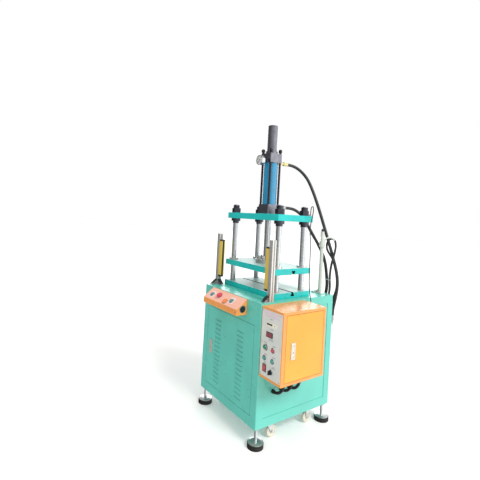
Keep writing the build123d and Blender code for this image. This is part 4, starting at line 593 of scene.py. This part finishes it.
def outline_plate(form, where, outline, thickness, bevel):
    """Adds a plate to a bmesh: an outline in millimetres, raised and with its upper edge eased."""
    rings = []
    middle = sum((Vector(p) for p in outline), Vector((0, 0))) / len(outline)
    for height, shrink in ((0, 0), (thickness - bevel, 0), (thickness, bevel)):
        ring = []
        for point in outline:
            away = Vector(point) - middle
            inner = middle + away * (1 - shrink / away.length)
            ring.append(form.verts.new(where @ (Vector((inner.x, inner.y, height)) / 1000)))
        rings.append(ring)
    for low, high in zip(rings, rings[1:]):
        for i in range(len(outline)):
            j = (i + 1) % len(outline)
            form.faces.new((low[i], low[j], high[j], high[i]))
    form.faces.new(rings[-1])
    form.faces.new(list(reversed(rings[0])))


def rounded(width, height, radius, steps=5):
    """Outline of a rounded rectangle, anticlockwise."""
    points = []
    for n, (sx, sy) in enumerate(((1, 1), (-1, 1), (-1, -1), (1, -1))):
        for k in range(steps + 1):
            angle = math.radians(90 * n + 90 * k / steps)
            points.append((
                sx * (width / 2 - radius) + radius * math.cos(angle),
                sy * (height / 2 - radius) + radius * math.sin(angle),
            ))
    return points


def lathe(form, where, profile, steps=48):
    """Adds a turned shape to a bmesh, from (radius, height) in millimetres along the frame's z."""
    rings = []
    for radius, height in profile:
        ring = []
        for k in range(steps):
            angle = math.tau * k / steps
            place = Vector((radius * math.cos(angle), radius * math.sin(angle), height))
            ring.append(form.verts.new(where @ (place / 1000)))
        rings.append(ring)
    for low, high in zip(rings, rings[1:]):
        for i in range(steps):
            j = (i + 1) % steps
            form.faces.new((low[i], low[j], high[j], high[i]))
    return rings


def as_mesh(form, name):
    """Turns a bmesh into a mesh with its faces outwards."""
    bmesh.ops.recalc_face_normals(form, faces=form.faces)
    mesh = bpy.data.meshes.new(name)
    form.to_mesh(mesh)
    form.free()
    return mesh


# Gauge: glass, and the marks of its dial
GLASS_IOR = 1.45
SMEAR_SCALE = 60
SMEAR_RANGE = (0.3, 0.7, 0.01, 0.06)
GLASS_SIDES = 64
GLASS_PROFILE = [(30.8, -1.6), (30.8, -0.6), (26, -0.2), (14, 0.1)]
DIAL_START = 225.0
DIAL_SWEEP = 270.0
DIAL_STEPS = 50
LONG_MARK_EVERY = 10
MARK_OUTER = 28
LONG_MARK_INNER = 21.5
SHORT_MARK_INNER = 25
LONG_MARK_HALF = 0.55
SHORT_MARK_HALF = 0.28
MARK_LEVEL = -4.95
MARK_THICKNESS = 0.2
MARK_BEVEL = 0.05
gauge_face = plane((gauge.x, gauge.front, gauge.z), TO_RIGHT, TO_FRONT)
glass = Look("gauge_glass")
glass.shader.inputs["Base Color"].default_value = (1, 1, 1, 1)
glass.shader.inputs["Transmission Weight"].default_value = 1.0
glass.shader.inputs["IOR"].default_value = GLASS_IOR
smear = glass.ranged(glass.noise(SMEAR_SCALE), *SMEAR_RANGE)
glass.links.new(smear, glass.shader.inputs["Roughness"])
form = bmesh.new()
rings = lathe(form, gauge_face, GLASS_PROFILE, GLASS_SIDES)
form.faces.new(rings[-1])
form.faces.new(list(reversed(rings[0])))
piece("gauge_window", as_mesh(form, "gauge_window"), glass.material)
form = bmesh.new()
for n in range(DIAL_STEPS + 1):
    angle = math.radians(DIAL_START - DIAL_SWEEP * n / DIAL_STEPS)
    long_mark = n % LONG_MARK_EVERY == 0
    inner = LONG_MARK_INNER if long_mark else SHORT_MARK_INNER
    half = LONG_MARK_HALF if long_mark else SHORT_MARK_HALF
    turn = gauge_face @ Matrix.Rotation(angle, 4, "Z")
    middle = Vector(((inner + MARK_OUTER) / 2, 0, MARK_LEVEL))
    where = turn @ Matrix.Translation(middle / 1000)
    mark = rounded(MARK_OUTER - inner, 2 * half, half * 0.4, 1)
    outline_plate(form, where, mark, MARK_THICKNESS, MARK_BEVEL)
marks_look = surface("dial_marks", finish((86, 88, 96), 0.5, mottle=0.05, spots=60))
piece("gauge_marks", as_mesh(form, "gauge_marks"), marks_look)


# Bare legend plates round the buttons and on the panel
def holed_plate(form, where, width, height, bore, thickness):
    """Adds a rectangular plate with a round hole to a bmesh, sizes in millimetres."""
    steps = 48
    loops = []
    for level in (0, thickness):
        for reach in ("outer", "inner"):
            ring = []
            for k in range(steps):
                angle = math.tau * k / steps
                x, y = math.cos(angle), math.sin(angle)
                scale = bore if reach == "inner" else 0.5 / max(abs(x) / width, abs(y) / height)
                ring.append(form.verts.new(where @ (Vector((x * scale, y * scale, level)) / 1000)))
            loops.append(ring)
    low_outer, low_inner, high_outer, high_inner = loops
    around = (low_outer, high_outer, high_inner, low_inner, low_outer)
    for first, second in zip(around, around[1:]):
        for k in range(steps):
            following = (k + 1) % steps
            form.faces.new((first[k], first[following], second[following], second[k]))


def disc(form, where, radius, height):
    """Adds a low round head to a bmesh, sizes in millimetres."""
    edge_height = height * 0.6
    flat_radius = radius * 0.75
    profile = [(radius, 0), (radius, edge_height), (flat_radius, height)]
    rings = lathe(form, where, profile, steps=20)
    form.faces.new(rings[-1])
    form.faces.new(list(reversed(rings[0])))


def plates(name, material, thickness, spots):
    """One piece of flat plates; each spot is a frame with a width and a height."""
    form = bmesh.new()
    for where, width, height in spots:
        outline = rounded(width, height, min(width, height) * 0.15)
        outline_plate(form, where, outline, thickness, thickness * 0.3)
    return piece(name, as_mesh(form, name), material)


LEGEND_BORE = 15.5
LEGEND_THICKNESS = 0.6
LEGENDS = (
    ("left_start_button", 54, 50, 50), ("stop_button", 48, 44, 36), ("right_start_button", 49, 48, 50),
)
legend_look = surface("legend_plate", finish((242, 224, 222), 0.38, mottle=0.02, spots=30, relief=0.2))
form = bmesh.new()
for button, down, width, height in LEGENDS:
    holed_plate(form, on_slope(Box(button).x, down), width, height, LEGEND_BORE, LEGEND_THICKNESS)
piece("slope_legends", as_mesh(form, "slope_legends"), legend_look)

# Bare bars where the panel is printed: place from its middle, width and height
PRINT_THICKNESS = 0.25
PRINTED_BARS = (
    (-44, 3, 24, 4), (31, 0, 26, 4), (-40, -64, 26, 4), (31, -63, 26, 4), (-43, -116, 24, 4),
    (32, -122, 28, 4), (-6, 144, 20, 4), (3, 88, 28, 4), (1, 30, 40, 3), (1, 24, 44, 3),
    (-43, -109, 16, 3), (33, -115, 18, 3),
)
HEADING_BARS = ((0, 178, 148, 15), (0, 160, 136, 12))
print_look = surface("panel_legend", finish((160, 166, 178), 0.45, mottle=0.04, spots=40, relief=0.2))
bars = [(on_panel(x, z), width, height) for x, z, width, height in PRINTED_BARS]
plates("panel_legends", print_look, PRINT_THICKNESS, bars)
head_look = surface("panel_heading", finish((224, 206, 214), 0.42, mottle=0.03, spots=30, relief=0.2))
bars = [(on_panel(x, z), width, height) for x, z, width, height in HEADING_BARS]
plates("panel_heading", head_look, PRINT_THICKNESS, bars)

# Timer: its pale plate, its dark window, its small knob, and the dark arc beside the green button
WINDOW_Z = 114
ARC_START = -62
ARC_STEP = 5.6
ARC_STEPS = 24
ARC_RADII = (17.5, 22.5)
ARC_LEVELS = (0, 0.6)
form = bmesh.new()
outline_plate(form, on_panel(1, TIMER_Z), rounded(92, 26, radius=2), thickness=0.5, bevel=0.15)
piece("timer_plate", as_mesh(form, "timer_plate"), surface("timer_plate", CREAM))
ink = surface("black_trim", BLACK_PLASTIC)
form = bmesh.new()
outline_plate(form, on_panel(-17, WINDOW_Z), rounded(43, 9, radius=1), thickness=3.5, bevel=0.5)
disc(form, on_panel(26, WINDOW_Z), radius=2.6, height=1.2)
green_button = Box("panel_green_button")
arc_middle = plane((green_button.x, panel.front, green_button.z), TO_RIGHT, TO_FRONT)
rows = []
for radius in ARC_RADII:
    for height in ARC_LEVELS:
        row = []
        for k in range(ARC_STEPS + 1):
            angle = math.radians(ARC_START + ARC_STEP * k)
            spot = Vector((radius * math.cos(angle), radius * math.sin(angle), height))
            row.append(form.verts.new(arc_middle @ (spot / 1000)))
        rows.append(row)
inner_low, inner_high, outer_low, outer_high = rows
around = (inner_low, inner_high, outer_high, outer_low, inner_low)
for first, second in zip(around, around[1:]):
    for k in range(ARC_STEPS):
        form.faces.new((first[k], first[k + 1], second[k + 1], second[k]))
for k in (0, -1):
    form.faces.new((inner_low[k], inner_high[k], outer_high[k], outer_low[k]))
piece("panel_windows", as_mesh(form, "panel_windows"), ink)

# Small screws of the panel and the two-hand box
PANEL_SCREW_X = 80
PANEL_SCREW_Z = 184
PANEL_SCREW_RADIUS = 3
PANEL_SCREW_HEIGHT = 1.2
HAND_BOX_SCREW_PLACES = (16, 198, 381)
HAND_BOX_SCREW_RISE = 18
HAND_BOX_SCREW_RADIUS = 3.4
HAND_BOX_SCREW_HEIGHT = 1.4
screw_look = surface("small_screws", ZINC)
form = bmesh.new()
for z in (PANEL_SCREW_Z, 0, -PANEL_SCREW_Z):
    for x in (-PANEL_SCREW_X, PANEL_SCREW_X):
        disc(form, on_panel(x, z), PANEL_SCREW_RADIUS, PANEL_SCREW_HEIGHT)
for reach in HAND_BOX_SCREW_PLACES:
    place = (hand_box.left + reach, hand_box.front, hand_box.bottom + HAND_BOX_SCREW_RISE)
    spot = plane(place, TO_RIGHT, TO_FRONT)
    disc(form, spot, HAND_BOX_SCREW_RADIUS, HAND_BOX_SCREW_HEIGHT)
piece("box_screws", as_mesh(form, "box_screws"), screw_look)

# Keyholes of the locks, below the middle of each lock
KEYHOLE_DROP = 8
KEYHOLE_RADIUS = 3.2
KEYHOLE_HEIGHT = 0.5
front_spot = plane((front_lever.x, front_lever.front, front_lock_z - KEYHOLE_DROP), TO_RIGHT, TO_FRONT)
box_spot = plane((box_lever.right, box_lever.y, box_lock_z - KEYHOLE_DROP), (0, 1, 0), TO_RIGHT)
for name, spot, body in (
    ("front_keyhole", front_spot, "front_lock_lever_body"),
    ("box_keyhole", box_spot, "box_lock_lever_body"),
):
    form = bmesh.new()
    disc(form, spot, KEYHOLE_RADIUS, KEYHOLE_HEIGHT)
    piece(name, as_mesh(form, name), ink, body)

# Covers on the sloping faces of the post brackets, each from the foot of its post outwards
BRACKET_LIP = 4
COVER_WIDTH = 25
COVER_MARGIN = 5
COVER_THICKNESS = 2.2
COVER_BEVEL = 0.6
COVER_AWAY = 23.5
COVER_RISE = 22
posts = Box("curtain_posts")
brackets = Box("post_brackets")
post_side = posts.back - posts.front
bracket_reach = posts.front - brackets.front - BRACKET_LIP
bracket_rise = brackets.top - brackets.bottom - BRACKET_LIP
cover_length = math.hypot(bracket_reach, bracket_rise) - COVER_MARGIN
form = bmesh.new()
for corner, outward in (
    ((posts.left + post_side / 2, posts.front, posts.bottom), TO_FRONT),
    ((posts.right - post_side / 2, posts.front, posts.bottom), TO_FRONT),
    ((posts.left + post_side, posts.y, posts.bottom), TO_RIGHT),
    ((posts.right - post_side, posts.y, posts.bottom), (-1, 0, 0)),
):
    away = Vector(outward)
    middle = Vector(corner) + away * COVER_AWAY + Vector((0, 0, COVER_RISE))
    across = away.cross(Vector((0, 0, 1)))
    slope_up = (Vector((0, 0, bracket_rise)) - away * bracket_reach).normalized()
    cover = plane(middle, across, across.cross(slope_up))
    outline_plate(form, cover, rounded(COVER_WIDTH, cover_length, radius=2), COVER_THICKNESS, COVER_BEVEL)
piece("bracket_covers", as_mesh(form, "bracket_covers"), ink)

# Rings of the corrugated conduits: down from the control box and round the bend into the cabinet
RING_PITCH = 3.4
RING_SIDES = 28
RING_PROFILE = [(8.0, -1.1), (8.7, -0.8), (9.0, 0), (8.7, 0.8), (8.0, 1.1)]
STRAIGHT_RINGS = 9
BEND_RINGS = 38
BEND_RADIUS = 81
GLAND_RADIUS = 13
GLAND_LENGTH = 14
conduits = Box("conduits")
straight_x = conduits.right - GLAND_RADIUS
straight_top = Box("control_box").bottom - GLAND_LENGTH
bend_x = straight_x - BEND_RADIUS
bend_z = conduits.bottom + GLAND_RADIUS + BEND_RADIUS
form = bmesh.new()
for y in (conduits.front + GLAND_RADIUS, conduits.y, conduits.back - GLAND_RADIUS):
    ring_places = []
    for k in range(STRAIGHT_RINGS):
        ring_places.append((Vector((straight_x, y, straight_top - RING_PITCH * k)), Vector((0, 0, 1))))
    for k in range(BEND_RINGS):
        angle = RING_PITCH * k / BEND_RADIUS
        spot = Vector((bend_x + BEND_RADIUS * math.cos(angle), y, bend_z - BEND_RADIUS * math.sin(angle)))
        ring_places.append((spot, Vector((math.sin(angle), 0, math.cos(angle)))))
    for spot, along in ring_places:
        rings = lathe(form, plane(spot, (0, 1, 0), along), RING_PROFILE, RING_SIDES)
        first, last = rings[0], rings[-1]
        for k in range(RING_SIDES):
            following = (k + 1) % RING_SIDES
            form.faces.new((last[k], last[following], first[following], first[k]))
piece("conduit_rings", as_mesh(form, "conduit_rings"), ink)

# White tie round the two hoses that run side by side
TIE_HEIGHT = 959.0
TIE_HALF_WIDTH = 2.4
TIE_THICKNESS = 1.3
TIE_STEPS = 18
TIE_GAP = 0.4
TIE_SECTION = (
    (0, -TIE_HALF_WIDTH), (TIE_THICKNESS, -TIE_HALF_WIDTH), (TIE_THICKNESS, TIE_HALF_WIDTH),
    (0, TIE_HALF_WIDTH),
)
tie_look = surface("tie_white", finish((226, 228, 224), 0.42, mottle=0.03, spots=60, relief=0.2))
first_hose = Vector((234.8, 352.5))
first_reach = CORDS["hose_b"][0] + TIE_GAP
second_hose = Vector((267.0, 346.0))
second_reach = CORDS["hose_c"][0] + TIE_GAP
between = second_hose - first_hose
heading = math.atan2(between.y, between.x)
lean_in = math.acos((first_reach - second_reach) / between.length)
outline = []
for hub, reach, start, end in (
    (first_hose, first_reach, heading + lean_in, heading + math.tau - lean_in),
    (second_hose, second_reach, heading - lean_in, heading + lean_in),
):
    for k in range(TIE_STEPS + 1):
        angle = start + (end - start) * k / TIE_STEPS
        outline.append((hub, reach, Vector((math.cos(angle), math.sin(angle)))))
form = bmesh.new()
loops = []
for thick, height in TIE_SECTION:
    loop = []
    for hub, reach, away in outline:
        spot = hub + away * (reach + thick)
        loop.append(form.verts.new(at(spot.x, spot.y, TIE_HEIGHT + height)))
    loops.append(loop)
for first, second in zip(loops, loops[1:] + loops[:1]):
    for k in range(len(outline)):
        following = (k + 1) % len(outline)
        form.faces.new((first[k], first[following], second[following], second[k]))
piece("hose_tie", as_mesh(form, "hose_tie"), tie_look)

# Studio: pale floor, white background and soft light from the right
FLOOR_RADIUS = 30
FLOOR_SIDES = 96
FLOOR_GLOW = 0.2
FLOOR_ROUGHNESS = 0.7
SOFT_LIGHT = 0.76
SUN_STRENGTH = 1.9
SUN_SPREAD = math.radians(18)
SUN_TRAVEL = (-0.72, -0.05, -0.7)
floor_look = Look("floor")
floor_look.links.new(
    floor_look.tint(floor_look.noise(1.5), srgb(236, 236, 234), srgb(242, 242, 240)),
    floor_look.shader.inputs["Base Color"],
)
floor_look.shader.inputs["Roughness"].default_value = FLOOR_ROUGHNESS
floor_look.shader.inputs["Emission Color"].default_value = (1, 1, 1, 1)
seen = floor_look.add("ShaderNodeLightPath").outputs["Is Camera Ray"]
glow = floor_look.sums("MULTIPLY", seen, FLOOR_GLOW)
floor_look.links.new(glow, floor_look.shader.inputs["Emission Strength"])
form = bmesh.new()
bmesh.ops.create_circle(form, cap_ends=True, segments=FLOOR_SIDES, radius=FLOOR_RADIUS)
floor = bpy.data.objects.new("floor", as_mesh(form, "floor"))
floor.data.materials.append(floor_look.material)
scene.collection.objects.link(floor)
floor.visible_glossy = False

world = bpy.data.worlds.new("studio")
world.use_nodes = True
scene.world = world
sky = world.node_tree
background = sky.nodes["Background"]
direction = sky.nodes.new("ShaderNodeTexCoord").outputs["Generated"]
path = sky.nodes.new("ShaderNodeLightPath").outputs


def towards(heading, start, end, dark, bright):
    """Brightness of the sky that grows as a ray turns towards a heading."""
    lean = sky.nodes.new("ShaderNodeVectorMath")
    lean.operation = "DOT_PRODUCT"
    lean.inputs[1].default_value = Vector(heading).normalized()
    sky.links.new(direction, lean.inputs[0])
    shade = sky.nodes.new("ShaderNodeMapRange")
    for index, value in enumerate((start, end, dark, bright), 1):
        shade.inputs[index].default_value = value
    sky.links.new(lean.outputs["Value"], shade.inputs[0])
    return shade.outputs[0]


def sky_sum(operation, first, second):
    """Adds one sum to the world's nodes."""
    node = sky.nodes.new("ShaderNodeMath")
    node.operation = operation
    for socket, value in zip(node.inputs, (first, second)):
        if isinstance(value, bpy.types.NodeSocket):
            sky.links.new(value, socket)
        else:
            socket.default_value = value
    return node.outputs[0]


# What glossy faces mirror: a room that is brighter to the right, and two rows of windows
room = towards((0.69, 0.69, 0.21), start=-0.95, end=0.15, dark=0.22, bright=0.95)
side_windows = towards((0.72, 0.66, 0.0), start=0.5, end=0.95, dark=0.0, bright=1.15)
rear_windows = towards((-0.77, 0.62, 0.24), start=0.86, end=0.98, dark=0.0, bright=2.8)
surroundings = sky_sum("ADD", sky_sum("ADD", room, side_windows), rear_windows)
mirrored = sky_sum("MULTIPLY", path["Is Glossy Ray"], surroundings)
open_view = sky_sum("MAXIMUM", path["Is Camera Ray"], path["Is Transmission Ray"])
soft = sky_sum("MULTIPLY", path["Is Diffuse Ray"], SOFT_LIGHT)
strength = sky_sum("MAXIMUM", sky_sum("MAXIMUM", mirrored, open_view), soft)
sky.links.new(strength, background.inputs["Strength"])
background.inputs["Color"].default_value = (1, 1, 1, 1)

sun_data = bpy.data.lights.new("window_light", "SUN")
sun_data.energy = SUN_STRENGTH
sun_data.angle = SUN_SPREAD
sun = bpy.data.objects.new("window_light", sun_data)
scene.collection.objects.link(sun)
sun.rotation_mode = "QUATERNION"
sun.rotation_quaternion = Vector(SUN_TRAVEL).to_track_quat("-Z", "Y")
scene.view_settings.view_transform = "Standard"
